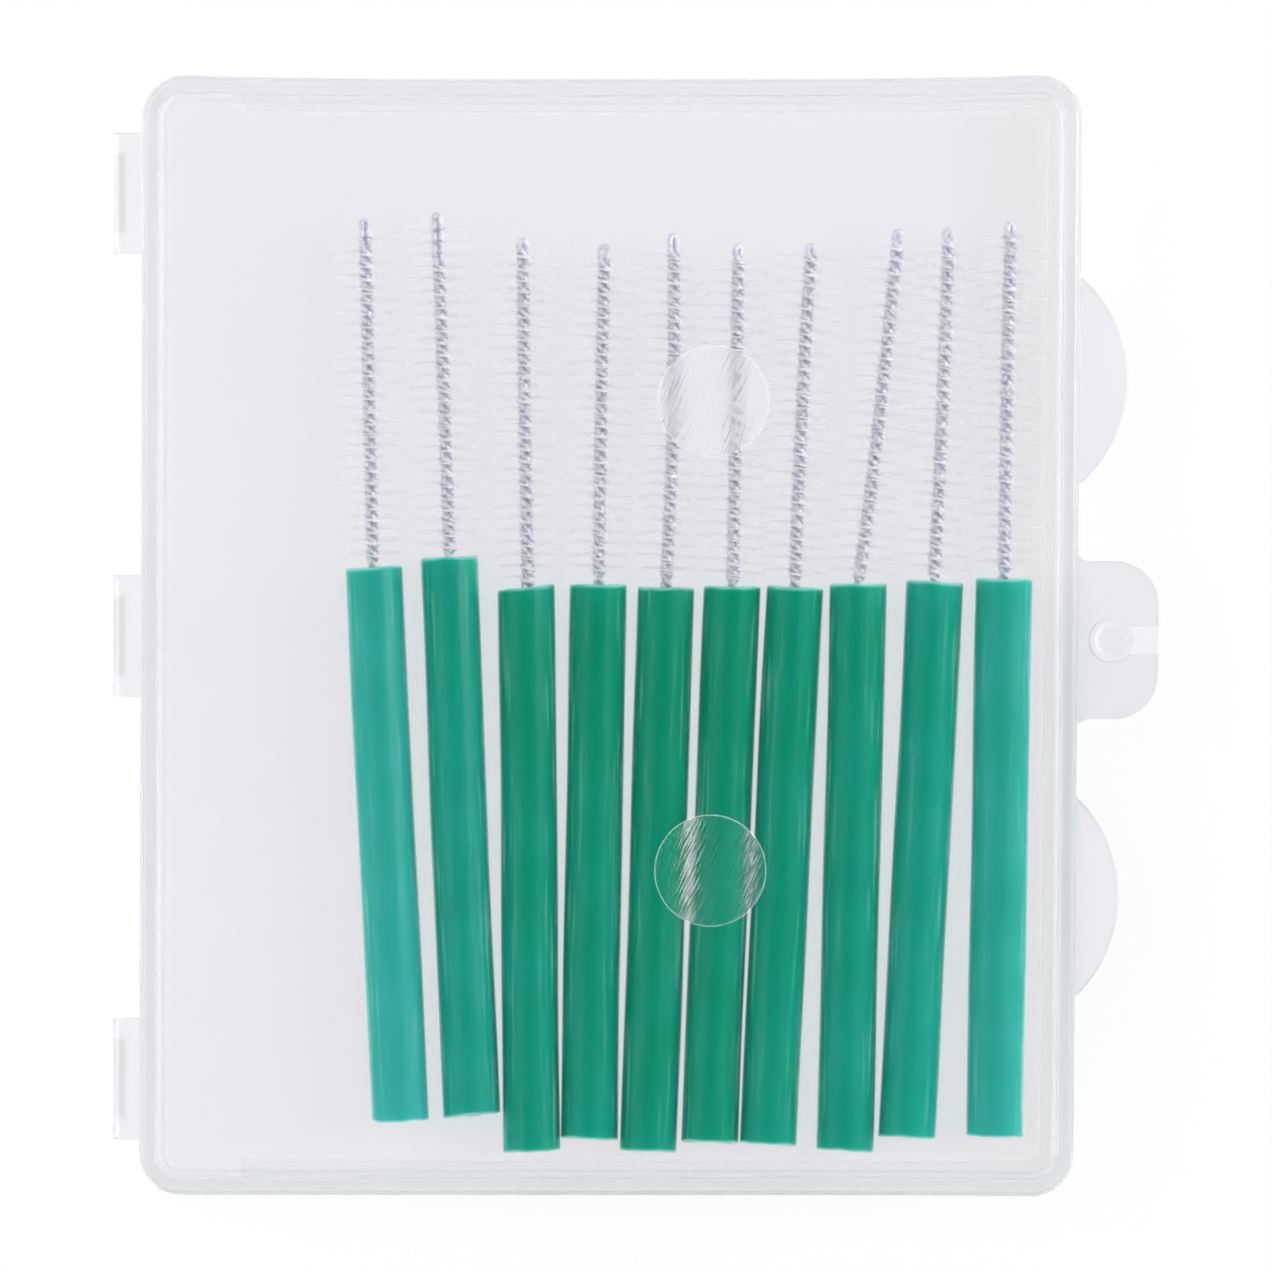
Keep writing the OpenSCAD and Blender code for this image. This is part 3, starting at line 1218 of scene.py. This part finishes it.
    def build_tray(self) -> None:
        """Builds the tray with its lip, latch tab, stud and finger tab."""
        gap, top = self.wall + self.lip_gap, self.rim_z + self.lip_height
        start, left = self.lip_start - self.edge_x, self.wall - self.edge_x
        form = self.block(0, self.corner, 0, self.rim_z)
        form.soften(0.0, self.foot_radius, 4).soften(self.rim_z, self.rim_radius, 2)
        x, y, r = self.edge_x - gap, self.edge_y - gap, self.corner - gap
        form.carve(Form.plate([(start, -y, 0), (x, -y, r), (x, y, r), (start, y, 0)], 1.0, top), Carve.ADD)
        inner_x, inner_y, inner_r = self.edge_x - gap - self.lip, self.edge_y - gap - self.lip, self.lip_corner
        corners = [(left, -inner_y, 0), (inner_x, -inner_y, inner_r), (inner_x, inner_y, inner_r), (left, inner_y, 0)]
        room = Form.plate(corners, self.panel, top + 1)
        corners = [(left, -y, r), (start, -y, 0), (start, y, 0), (left, y, r)]
        room.carve(Form.plate(corners, self.panel, top + 1), Carve.ADD)
        form.carve(room.soften(self.panel, self.room_radius, 5), Carve.CUT)
        form.soften(top, self.lip_radius)
        form.carve(self.latch_tab(self.rim_z - self.tab), Carve.ADD)
        form.carve(self.finger_tab(1, self.rim_z - self.tab), Carve.ADD)
        stud_top = self.lid_z + self.tab + self.stud_rise
        stud = Form.drum(self.stud_place, self.stud / 2, self.rim_z - 0.3, stud_top)
        # The ring's raised top carries painted shade in the gap round the stud.
        ring = Form.drum(self.stud_place, self.hole, self.shade_ring_low, self.rim_z + self.shade_ring_rise)
        form.carve(ring, Carve.ADD).carve(stud.soften(stud_top, self.stud_radius, 4), Carve.ADD)
        self.dress(form, 0.0, self.panel)
        form.move(self.warp)
        piece = form.finish("case_tray_moulding", Slot.CASE, self.plastics, weighted=True)
        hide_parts("case_tray")
        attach(piece, "tray")

    def build_lid(self) -> None:
        """Builds the lid with its latch tab, finger tab and the two matt marks under its top."""
        under = self.height - self.panel
        form = self.block(0, self.corner, self.lid_z, self.height).soften(self.height, self.foot_radius, 4)
        room = self.block(self.wall, self.corner - self.wall, self.lid_z - 1, under)
        form.carve(room.soften(under, self.room_radius, 4), Carve.CUT).soften(self.lid_z, self.rim_radius, 2)
        deep = under + self.mark_depth
        for side in (-1, 1):
            mark = Form.drum((self.mark_offset, side * self.mark_pitch / 2), self.mark / 2, under - 0.5, deep, 96)
            form.carve(mark.soften(deep, self.mark_depth * 0.8, 1), Carve.CUT)
        tab, middle = self.latch_tab(self.lid_z), self.stud_place[0]
        hole = Form.drum(self.stud_place, self.hole, self.lid_z - 1, self.height)
        far, low, high = self.edge_x + self.latch_reach + 1, self.latch_y - self.slot / 2, self.latch_y + self.slot / 2
        corners = [(middle, low, 0), (far, low, 0), (far, high, 0), (middle, high, 0)]
        tab.carve(hole.carve(Form.plate(corners, self.lid_z - 1, 7), Carve.ADD), Carve.CUT)
        centre = Vector((middle, self.latch_y, self.lid_z + self.tab))
        rim = [
            e
            for e in tab.sharp_at(self.lid_z + self.tab)
            if (sum((v.co for v in e.verts), Vector()) / 2 - centre).length < self.hole + 0.05
        ]
        tab.bevel(rim, self.tab_radius, 2, "EDGES")
        form.carve(tab, Carve.ADD)
        form.carve(self.finger_tab(0, self.lid_z), Carve.ADD)
        self.dress(form, self.height, under)
        for face in form.mesh.faces:
            depth = face.calc_center_median().z - under
            if abs(depth - self.mark_depth) < 0.01:
                face.material_index = int(Plastic.MARK)
            elif 0.005 < depth < self.mark_depth:
                face.material_index = int(Plastic.EDGE)
        form.move(self.warp)
        piece = form.finish("case_lid_moulding", Slot.CASE, self.plastics, weighted=True)
        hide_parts("case_lid")
        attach(piece, "lid")

    def build_strap(self, label: str, y: float) -> None:
        """Builds one strap: a film folded back on itself.

        Args:
            label: The strap's place along the hinge.
            y: Its middle along the case.
        """
        fold_x = -self.edge_x - self.strap_reach + self.fold
        fold_z = (self.rim_z + self.lid_z) / 2
        form = Form()
        mesh = form.mesh
        inner, outer = self.film
        start_y, root_x = y - self.strap_width / 2, -self.edge_x + self.strap_gap
        start = [mesh.verts.new((x, start_y, fold_z - outer)) for x in (root_x, fold_x)]
        mesh.edges.new(start)
        turned = bmesh.ops.spin(
            mesh,
            geom=[start[1]],
            cent=(fold_x, start_y, fold_z),
            axis=(0, 1, 0),
            angle=math.pi,
            steps=10,
            use_merge=False,
            use_duplicate=False,
        )
        end = bmesh.ops.extrude_vert_indiv(mesh, verts=points(turned["geom_last"])[:1])["verts"][0]
        end.co.x = root_x
        swept = bmesh.ops.extrude_edge_only(mesh, edges=mesh.edges[:])
        bmesh.ops.translate(mesh, verts=points(swept["geom"]), vec=(0, self.strap_width, 0))
        across = [e for e in mesh.edges if abs(e.verts[0].co.y - e.verts[1].co.y) > 1]
        bmesh.ops.subdivide_edges(mesh, edges=across, cuts=14, use_grid_fill=True)
        bmesh.ops.recalc_face_normals(mesh, faces=mesh.faces[:])
        middle = [f for f in mesh.faces if f.calc_center_median().x < fold_x - 0.3]
        if middle and middle[0].normal.x > 0:
            bmesh.ops.reverse_faces(mesh, faces=mesh.faces[:])
        bmesh.ops.solidify(mesh, geom=mesh.faces[:], thickness=outer - inner)
        sharp = [e for e in mesh.edges if len(e.link_faces) == 2 and e.calc_face_angle(0) > 0.9]
        form.bevel(sharp, self.strap_radius, 2, "EDGES")
        piece = form.finish(f"hinge_strap_{label}", Slot.CASE, [self.plastics[Plastic.FILM]], weighted=True)
        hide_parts(f"hinge_{label}_tray_leaf", f"hinge_{label}_lid_leaf")
        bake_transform(piece)

    def build(self) -> None:
        """Builds the whole case."""
        kinds = (ClearPolypropylene, MilkyPolypropylene, SatinPolypropylene, EdgeHighlight, GrainedPolypropylene)
        kinds += (FilmPolypropylene, ThinPolypropylene, StudShadePolypropylene, LitTabPolypropylene, OuterPolypropylene)
        self.plastics = [kind().build() for kind in kinds]
        self.build_tray()
        self.build_lid()
        for label, place in (("upper", 1), ("middle", 0), ("lower", -1)):
            self.build_strap(label, place * self.strap_pitch)


# The brushes


@dataclass
class InterdentalBrush:
    """One brush: a cut rod of green plastic, a wire folded over and twisted, and clear filaments in the twist."""

    number: int
    mouth_x: float
    tail_x: float
    tail_y: float
    axis_z: float
    rise: float
    handle: float
    wire: float
    bend: float
    off: float
    curl: float
    roll: float
    straight: float
    loop: float
    slant: float
    green: bpy.types.Material = field(repr=False)
    steel: bpy.types.Material = field(repr=False)
    nylon: bpy.types.Material = field(repr=False)
    root: bpy.types.Material = field(repr=False)
    lean_length: float = 34.3
    handle_d: float = 3.5
    cut_insets: tuple[Point, ...] = ((0.1, 0.04), (1.2, 0.0))
    bore_inset: Point = (0.03, -0.35)
    shank: float = 11.0
    strand: float = 0.38
    half_turn: float = 0.74
    head_radius: float = 2.3
    filament: float = 0.12
    per_row: int = 12
    gather: float = 0.65
    root_thread: float = 0.15
    root_reach: float = 0.42
    stiff_reach: float = 1.4
    neck: float = 0.3
    bare_root: float = 0.45
    bare_tip: float = 0.5
    floor_z: float = 0.93

    @property
    def label(self) -> str:
        """The brush's number as two figures."""
        return f"{self.number:02d}"

    @property
    def place(self) -> Matrix:
        """Puts a piece that stands on the origin, along +Z, on the brush's own axis.

        Returns:
            The move and the turn that do so.
        """
        lean = math.atan2(self.mouth_x - self.tail_x, self.lean_length)
        return (
            Matrix.Translation((self.tail_x, self.tail_y, self.axis_z))
            @ Matrix.Rotation(-lean, 4, "Z")
            @ Matrix.Translation((0, self.rise, 0))
            @ Matrix.Rotation(math.radians(-90), 4, "X")
        )

    def lay(self, form: Form) -> Form:
        """Lays a form that stands on the origin on the brush's own axis, and gives it back."""
        bmesh.ops.transform(form.mesh, matrix=self.place, verts=form.mesh.verts[:])
        return form

    def follow(self, point: Vector) -> Vector:
        """Bends the wire or head as the wire bends at the handle's mouth.

        Args:
            point: A point of the straight wire or head.

        Returns:
            Where it lies.
        """
        past = max(0.0, point.z - self.handle)
        share = past / self.wire
        away = self.off * min(1.0, past / 0.5) + past * math.tan(math.radians(self.bend))
        return Vector((point.x + away + 4 * self.curl * share * (1 - share), point.y, point.z))

    def build_handle(self) -> None:
        """Builds the rod, a little wavy, with ends that the knife left uneven."""
        rng = random.Random(self.number)
        form = Form()
        mesh = form.mesh
        rings, radius = 28, self.handle_d / 2
        first = bmesh.ops.create_circle(mesh, cap_ends=False, segments=40, radius=radius)["verts"]
        ring = rim_of(first)
        for _ in range(rings):
            made = bmesh.ops.extrude_edge_only(mesh, edges=ring)["geom"]
            ring = edges(made)
            bmesh.ops.translate(mesh, verts=points(made), vec=(0, 0, self.handle / rings))
        map_layer = mesh.loops.layers.uv.new("Along")
        for face in mesh.faces:
            around = [math.atan2(v.co.y, v.co.x) for v in face.verts]
            wraps = max(around) - min(around) > math.pi
            for loop, angle in zip(face.loops, around):
                angle += 2 * math.pi if wraps and angle < 0 else 0
                loop[map_layer].uv = ((angle * radius + self.number * MAP_STEP) * MM, loop.vert.co.z * MM)
        for z in (0.0, self.handle):
            rim = [e for e in mesh.edges if all(abs(v.co.z - z) < 1e-4 for v in e.verts)]
            cap = bmesh.ops.contextual_create(mesh, geom=rim)["faces"]
            for thickness, depth in self.cut_insets + ((self.bore_inset,) if z else ()):
                bmesh.ops.inset_region(mesh, faces=cap, thickness=thickness, depth=depth)
        bmesh.ops.recalc_face_normals(mesh, faces=mesh.faces[:])
        tilts = ((rng.uniform(-0.12, 0.12), rng.uniform(0, 6)), (self.slant, 0.0))
        phase, bow = rng.uniform(0, 6), rng.uniform(-0.04, 0.04)

        def shape(point: Vector) -> Vector:
            """Gives the rod its waviness and the slant of its cut ends.

            Args:
                point: A point of the straight rod.

            Returns:
                Where that point goes.
            """
            share = point.z / self.handle
            angle = math.atan2(point.y, point.x)
            near = max(0.0, 1 - min(point.z, self.handle - point.z) / 1.5)
            tilt, turn = tilts[round(share)]
            ragged = 0.03 * math.sin(3 * angle + phase) + 0.02 * math.sin(7 * angle + 2 * phase)
            wave = bow * math.sin(math.pi * share) + 0.02 * math.sin(9 * share + phase)
            swell = 1 + 0.006 * math.sin(13 * share + phase)
            side = math.hypot(point.x, point.y) / radius
            height = point.z + near * side * (tilt * math.cos(angle - turn) + ragged)
            return Vector((point.x * swell + wave, point.y * swell, height))

        form.move(shape)
        piece = self.lay(form).finish(f"rod_handle_{self.label}", Slot.HANDLE, [self.green])
        piece.data.set_sharp_from_angle(angle=math.radians(50))
        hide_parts(f"handle_{self.label}")
        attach(piece, f"brush_{self.label}")

    def build_wire(self) -> None:
        """Builds the wire: one strand up, over at the tip and down again, twisted round itself."""
        radius = self.strand / 2
        foot = self.handle - self.shank
        top = self.handle + self.wire - self.strand
        steps = int((top - foot) / self.half_turn * 6)
        path = []
        for side in (0, 1):
            leg = []
            for k in range(steps + 1):
                z = foot + (top - foot) * k / steps
                ease = min(1.0, (top - z) / 0.6)
                angle = self.twist(z) + side * math.pi
                reach = radius * (1.0 + (self.loop - 1) * (1 - ease))
                leg.append(Vector((reach * math.cos(angle), reach * math.sin(angle), z)))
            path.append(leg)
        spread = Vector((math.cos(self.roll), math.sin(self.roll), 0)) * radius * self.loop
        tip = [
            spread * math.cos(a) + Vector((0, 0, top + math.sin(a) * radius * self.loop))
            for a in (math.pi * k / 8 for k in range(1, 8))
        ]
        route = path[0] + tip + path[1][::-1]
        curve = bpy.data.curves.new("strand", "CURVE")
        curve.dimensions, curve.bevel_depth, curve.bevel_resolution, curve.use_fill_caps = "3D", radius, 2, True
        spline = curve.splines.new("POLY")
        spline.points.add(len(route) - 1)
        for target, point in zip(spline.points, route):
            target.co = (*point, 1)
        holder = stand("strand", curve)
        form = Form()
        form.mesh.from_mesh(holder.evaluated_get(bpy.context.evaluated_depsgraph_get()).to_mesh())
        bpy.data.objects.remove(holder)
        bpy.data.curves.remove(curve)
        form.move(self.follow)
        piece = self.lay(form).finish(f"twisted_wire_{self.label}", Slot.WIRE, [self.steel])
        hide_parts(f"wire_{self.label}")
        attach(piece, f"brush_{self.label}")

    def twist(self, z: float) -> float:
        """Gives the angle of the first strand at a height along the brush."""
        top = self.handle + self.wire - self.strand - self.straight
        return self.roll + math.pi * max(0.0, top - z) / self.half_turn

    def build_bristles(self) -> None:
        """Builds the head: filaments caught between the strands, so that they fan out as a screw."""
        rng = random.Random(100 + self.number)
        form = Form()
        mesh = form.mesh
        low = self.handle + self.neck + self.bare_root
        rows = int((self.wire - self.neck - self.bare_root - self.bare_tip) / self.half_turn)
        turned = Matrix.Rotation(self.twist(low) + math.pi / 2, 4, "Z")
        place = Matrix.Translation((0, 0, low)) @ turned @ Matrix.Rotation(math.pi / 2, 4, "Y")
        form.rod(self.filament / 2, 2 * self.head_radius, 3, place)
        across = turned.to_3x3() @ Vector((1, 0, 0))
        for reach in (-self.stiff_reach, -self.root_reach, self.root_reach, self.stiff_reach):
            form.slice(across * reach, across)
        for face in mesh.faces:
            face.material_index = int(abs(face.calc_center_median().dot(across)) < self.root_reach)
        each = len(mesh.verts)
        for turns, steps in ((1 - 1 / self.per_row, self.per_row - 1), (rows - 1, rows - 1)):
            bmesh.ops.spin(
                mesh,
                geom=everything(mesh),
                cent=(0, 0, low),
                axis=(0, 0, 1),
                dvec=(0, 0, self.half_turn * turns / steps),
                angle=-math.pi * turns,
                steps=steps,
                use_merge=False,
                use_duplicate=True,
            )
        mesh.verts.ensure_lookup_table()
        down = self.axis_z - self.floor_z
        sweeps = [[rng.uniform(-0.2, 0.0) for _ in range(2)] for _ in range(rows + 2)]
        for start in range(0, len(mesh.verts), each):
            turn, slip = rng.gauss(0, 0.05), rng.gauss(0, 0.025)
            reach = [rng.uniform(0.86, 1.0), rng.uniform(0.86, 1.0)]
            sag = [rng.gauss(0, 0.035), rng.gauss(0, 0.035)]
            row = min(rows + 1, start // each // self.per_row)
            end = mesh.verts[start].co
            lean = math.atan2(end.y, end.x)
            lean -= math.pi * round(lean / math.pi)
            slip += self.gather * lean * self.half_turn / math.pi
            for vert in mesh.verts[start : start + each]:
                flat = Vector((vert.co.x, vert.co.y, 0))
                side = int(flat.x < 0)
                share = flat.length / self.head_radius
                flat *= 1 + (reach[side] - 1) * min(1, share)
                flat.rotate(Matrix.Rotation(turn, 3, "Z"))
                bend = share * share * (sag[side] + sweeps[row][side])
                vert.co = Vector((flat.x, flat.y, vert.co.z + slip + bend))
                if flat.y > down:
                    over = flat.y - down
                    vert.co.y = down - 0.02 * rng.random()
                    vert.co.x += math.copysign(over * 0.5, flat.x)
        self.add_root_threads(mesh, rng)
        form.move(self.follow)
        piece = self.lay(form).finish(f"bristle_head_{self.label}", Slot.BRISTLE, [self.nylon, self.root])
        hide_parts(f"bristles_{self.label}")
        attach(piece, f"brush_{self.label}")

    def add_root_threads(self, mesh: bmesh.types.BMesh, rng: random.Random) -> None:
        """Adds the crushed filaments that lie across the wire in each groove of its twist.

        Args:
            mesh: The head's mesh, upright on the origin.
            rng: The head's own chance.
        """
        threads = bmesh.new()
        radius = self.strand + self.root_thread / 2
        top = self.handle + self.wire - self.strand - self.straight
        count = int((top - self.handle - 0.2) / self.half_turn)
        arcs = [(k + side, rng.uniform(0.0, 0.35), math.pi) for k in range(count) for side in (0.0, 0.1)]
        arcs += [(k + rng.random(), -rng.uniform(0.2, 2.2), rng.uniform(0.4, 0.9)) for k in range(2 * count)]
        for k, begin, sweep in arcs:
            z = top - (k - self.roll / math.pi + 1) * self.half_turn + rng.gauss(0, 0.04)
            place = Matrix.Rotation(begin, 4, "Z") @ Matrix.Translation((radius, 0, z))
            ring = bmesh.ops.create_circle(
                threads,
                cap_ends=False,
                segments=3,
                radius=self.root_thread / 2,
                matrix=place @ Matrix.Rotation(math.radians(90), 4, "X"),
            )["verts"]
            bmesh.ops.spin(
                threads,
                geom=ring + rim_of(ring),
                cent=(0, 0, z),
                axis=(0, 0, 1),
                dvec=(0, 0, rng.uniform(0.01, 0.05)),
                angle=-sweep * rng.uniform(0.9, 1.1),
                steps=6,
                use_merge=False,
                use_duplicate=False,
            )
        for face in threads.faces:
            face.material_index = 1
        data = store(threads, "threads")
        mesh.from_mesh(data)
        bpy.data.meshes.remove(data)

    def build(self) -> None:
        """Builds the brush's three pieces."""
        self.build_handle()
        self.build_wire()
        self.build_bristles()


@dataclass
class LooseBrushes:
    """The ten brushes as they lie in the tray, by shares of the handle's width and of the lengths."""

    handle_d: float = 3.46
    handle: float = 34.4
    wire: float = 21.56
    last_x: float = 24.29
    tail_y: float = -31.65
    axis_z: float = 2.675
    tail_shift: float = 0.17
    front_gaps: tuple = (0.344, 0.353, 0.277, 0.193, 0.184, 0.113, 0.126, 0.355, 0.239)
    tail_gaps: tuple = (0.254, 0.039, 0.02, 0.055, 0.085, 0.044, 0.364, 0.086, 0.577)
    rises: tuple = (0.0555, 0.064, 0.0, 0.022, 0.0, 0.016, 0.0125, 0.002, 0.025, 0.0263)
    handle_extras: tuple = (-0.0125, -0.003, 0.006, -0.011, 0.006, -0.008, -0.0055, 0.01, -0.008, -0.0053)
    wire_extras: tuple = (0, -0.014, 0, -0.028, 0.014, -0.019, -0.014, 0.019, 0.014, 0.023)
    bends: tuple = (1.55, 0.2, -0.4, 0, -0.6, -1.4, 0, 5.0, -0.6, 0)
    offs: tuple = (-0.08, 0.0, 0.08, 0.0, 0.0, 0.0, -0.02, 0.0, -0.07, 0.0)
    curls: tuple = (0, 0.03, -0.05, -0.06, 0.2, 0, -0.1, 0.12, 0.08, -0.05)
    rolls: tuple = (0, 8, 10, 0, 20, 30, 15, 0, 15, 25)
    straights: tuple = (1.3, 2.6, 0.2, 0.5, 0.7, 0.3, 0.2, 0.3, 0.2, 0.3)
    loops: tuple = (0.95, 1.0, 1.0, 1.35, 1.0, 1.0, 1.0, 1.0, 1.0, 1.0)
    slants: tuple = (0.03, 0.0, 0.18, 0.02, 0.03, 0.05, -0.02, 0.04, -0.03, 0.0)
    # Painted light: the rods by both sides of the case are drawn paler, standing in for the haze over them.
    painted_haze: tuple = (1.0, 0.45, 0.15, 0.08, 0.0, 0.0, 0.12, 0.2, 0.4, 0.85)

    def across(self, last: float, gaps: tuple) -> list[float]:
        """Works out where each handle lies across the case.

        Args:
            last: Where the last one lies.
            gaps: The spaces between neighbours, as shares of the handle's width.

        Returns:
            The place of each.
        """
        places = [last]
        for gap in reversed(gaps):
            places.append(places[-1] - self.handle_d * (1 + gap))
        return places[::-1]

    def build(self) -> None:
        """Builds every brush."""
        steel, nylon, root = StainlessWire().build(), ClearNylon().build(), NylonRoots().build()
        mouths = self.across(self.last_x, self.front_gaps)
        tails = self.across(self.last_x - self.tail_shift * self.handle_d, self.tail_gaps)
        for i, (mouth, tail) in enumerate(zip(mouths, tails)):
            length = self.handle * (1 + self.handle_extras[i])
            InterdentalBrush(
                number=i + 1,
                mouth_x=mouth,
                tail_x=tail,
                tail_y=self.tail_y,
                axis_z=self.axis_z,
                rise=self.rises[i] * self.handle,
                handle=length,
                wire=self.wire * (1 + self.wire_extras[i]),
                bend=self.bends[i],
                off=self.offs[i],
                curl=self.curls[i],
                roll=math.radians(self.rolls[i]),
                straight=self.straights[i],
                loop=self.loops[i],
                slant=self.slants[i],
                green=DrawnPolyethylene(i + 1, self.painted_haze[i], length).build(),
                steel=steel,
                nylon=nylon,
                root=root,
            ).build()


# The studio


@dataclass
class Studio:
    """White table, soft lamps on both sides and a camera straight above the case."""

    middle_x: float = 1.65
    distance: float = 1500.0
    view_width: float = 78.04
    sensor: float = 36.0
    focus_z: float = 7.0
    table_size: float = 3.0
    table_gap: float = 0.02
    gap_x: float = 0.0026
    sky_spread: float = 3.2
    sky: tuple = ((0.0, 0.0), (0.45, 0.0), (0.8, 0.3), (1.0, 0.6))
    horizon: float = 0.1
    lamps: tuple = (
        ("lamp_right", (0.7, 0.1, 0.27), (0.14, 1.0), 4.9),
        ("lamp_left", (-0.9, 0.25, 0.5), (1.2, 1.2), 8.4),
    )

    def build_table(self) -> None:
        """Lays the table, just under the case."""
        mesh = bmesh.new()
        bmesh.ops.create_grid(mesh, x_segments=2, y_segments=2, size=self.table_size)
        data = store(mesh, "table")
        data.transform(Matrix.Translation((0, 0, -self.table_gap * MM)))
        data.materials.append(WhiteTable().build())
        table = stand("table", data)

    def build_lamp(self, name: str, place: tuple[float, float, float], size: Point, watts: float) -> None:
        """Hangs a soft oblong lamp that faces the case.

        Args:
            name: The lamp's name.
            place: Where it hangs, in metres.
            size: Its sides across and along the case, in metres.
            watts: Its power.
        """
        light = bpy.data.lights.new(name, "AREA")
        light.shape, light.energy = "RECTANGLE", watts
        light.size, light.size_y = size
        lamp = stand(name, light)
        lamp.location = place
        lamp.rotation_mode = "QUATERNION"
        lamp.rotation_quaternion = (-Vector(place)).to_track_quat("-Z", "Y")

    def build_world(self) -> None:
        """Makes the room: white where it is seen directly, and otherwise a dim even light."""
        world = bpy.data.worlds.new("room")
        world.use_nodes = True
        bpy.context.scene.world = world
        tree = world.node_tree
        tree.nodes.clear()
        path = add(tree, "ShaderNodeLightPath")
        way = add(tree, "ShaderNodeTexCoord").outputs["Generated"]
        rise = add(tree, "ShaderNodeSeparateXYZ", links={0: way}).outputs["Z"]
        off = add(
            tree,
            "ShaderNodeMapping",
            {"Location": (-self.gap_x, 0.0, 0.0), "Scale": (1.0, 1.0, 0.0)},
            {"Vector": way},
        )
        far = add(tree, "ShaderNodeVectorMath", links={0: off.outputs[0]}, operation="LENGTH").outputs["Value"]
        spread = add(tree, "ShaderNodeMath", {1: self.sky_spread}, {0: far}, operation="MULTIPLY").outputs[0]
        stops = [(place, (level, level, level, 1)) for place, level in self.sky]
        tone = add(tree, "ShaderNodeValToRGB", links={0: spread}, stops=stops).outputs["Color"]
        dim = add(tree, "ShaderNodeBackground", {"Strength": 1.0}, {"Color": tone})
        white = add(tree, "ShaderNodeBackground", {"Color": linear("#ffffff"), "Strength": 1.0})
        low = add(tree, "ShaderNodeMath", {1: self.horizon}, {0: rise}, operation="LESS_THAN").outputs[0]
        through = add(
            tree, "ShaderNodeMath", links={0: path.outputs["Is Transmission Ray"], 1: low}, operation="MULTIPLY"
        ).outputs[0]
        seen = add(tree, "ShaderNodeMath", links={0: path.outputs["Is Camera Ray"], 1: through}, operation="MAXIMUM")
        mixed = add(tree, "ShaderNodeMixShader", links={0: seen.outputs[0], 1: dim.outputs[0], 2: white.outputs[0]})
        add(tree, "ShaderNodeOutputWorld", links={"Surface": mixed.outputs[0]})

    def build_camera(self) -> None:
        """Sets the camera straight above, level with the case's sides."""
        lens = bpy.data.cameras.new("camera")
        lens.sensor_width = self.sensor
        lens.lens = self.sensor * self.distance / self.view_width
        lens.clip_start, lens.clip_end = 0.01, 10
        camera = stand("camera", lens)
        camera.location = (self.middle_x * MM, 0, (self.focus_z + self.distance) * MM)
        bpy.context.scene.camera = camera

    def build(self) -> None:
        """Sets up the whole studio."""
        bpy.context.scene.view_settings.view_transform = "Standard"
        bpy.context.scene.cycles.transparent_max_bounces = 64
        self.build_table()
        for lamp in self.lamps:
            self.build_lamp(*lamp)
        self.build_world()
        self.build_camera()


def main() -> None:
    """Builds the case, the brushes and the studio."""
    logging.basicConfig(level=logging.INFO, format="%(message)s")
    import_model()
    HingedCase().build()
    LooseBrushes().build()
    Studio().build()


if __name__ == "__main__":
    main()
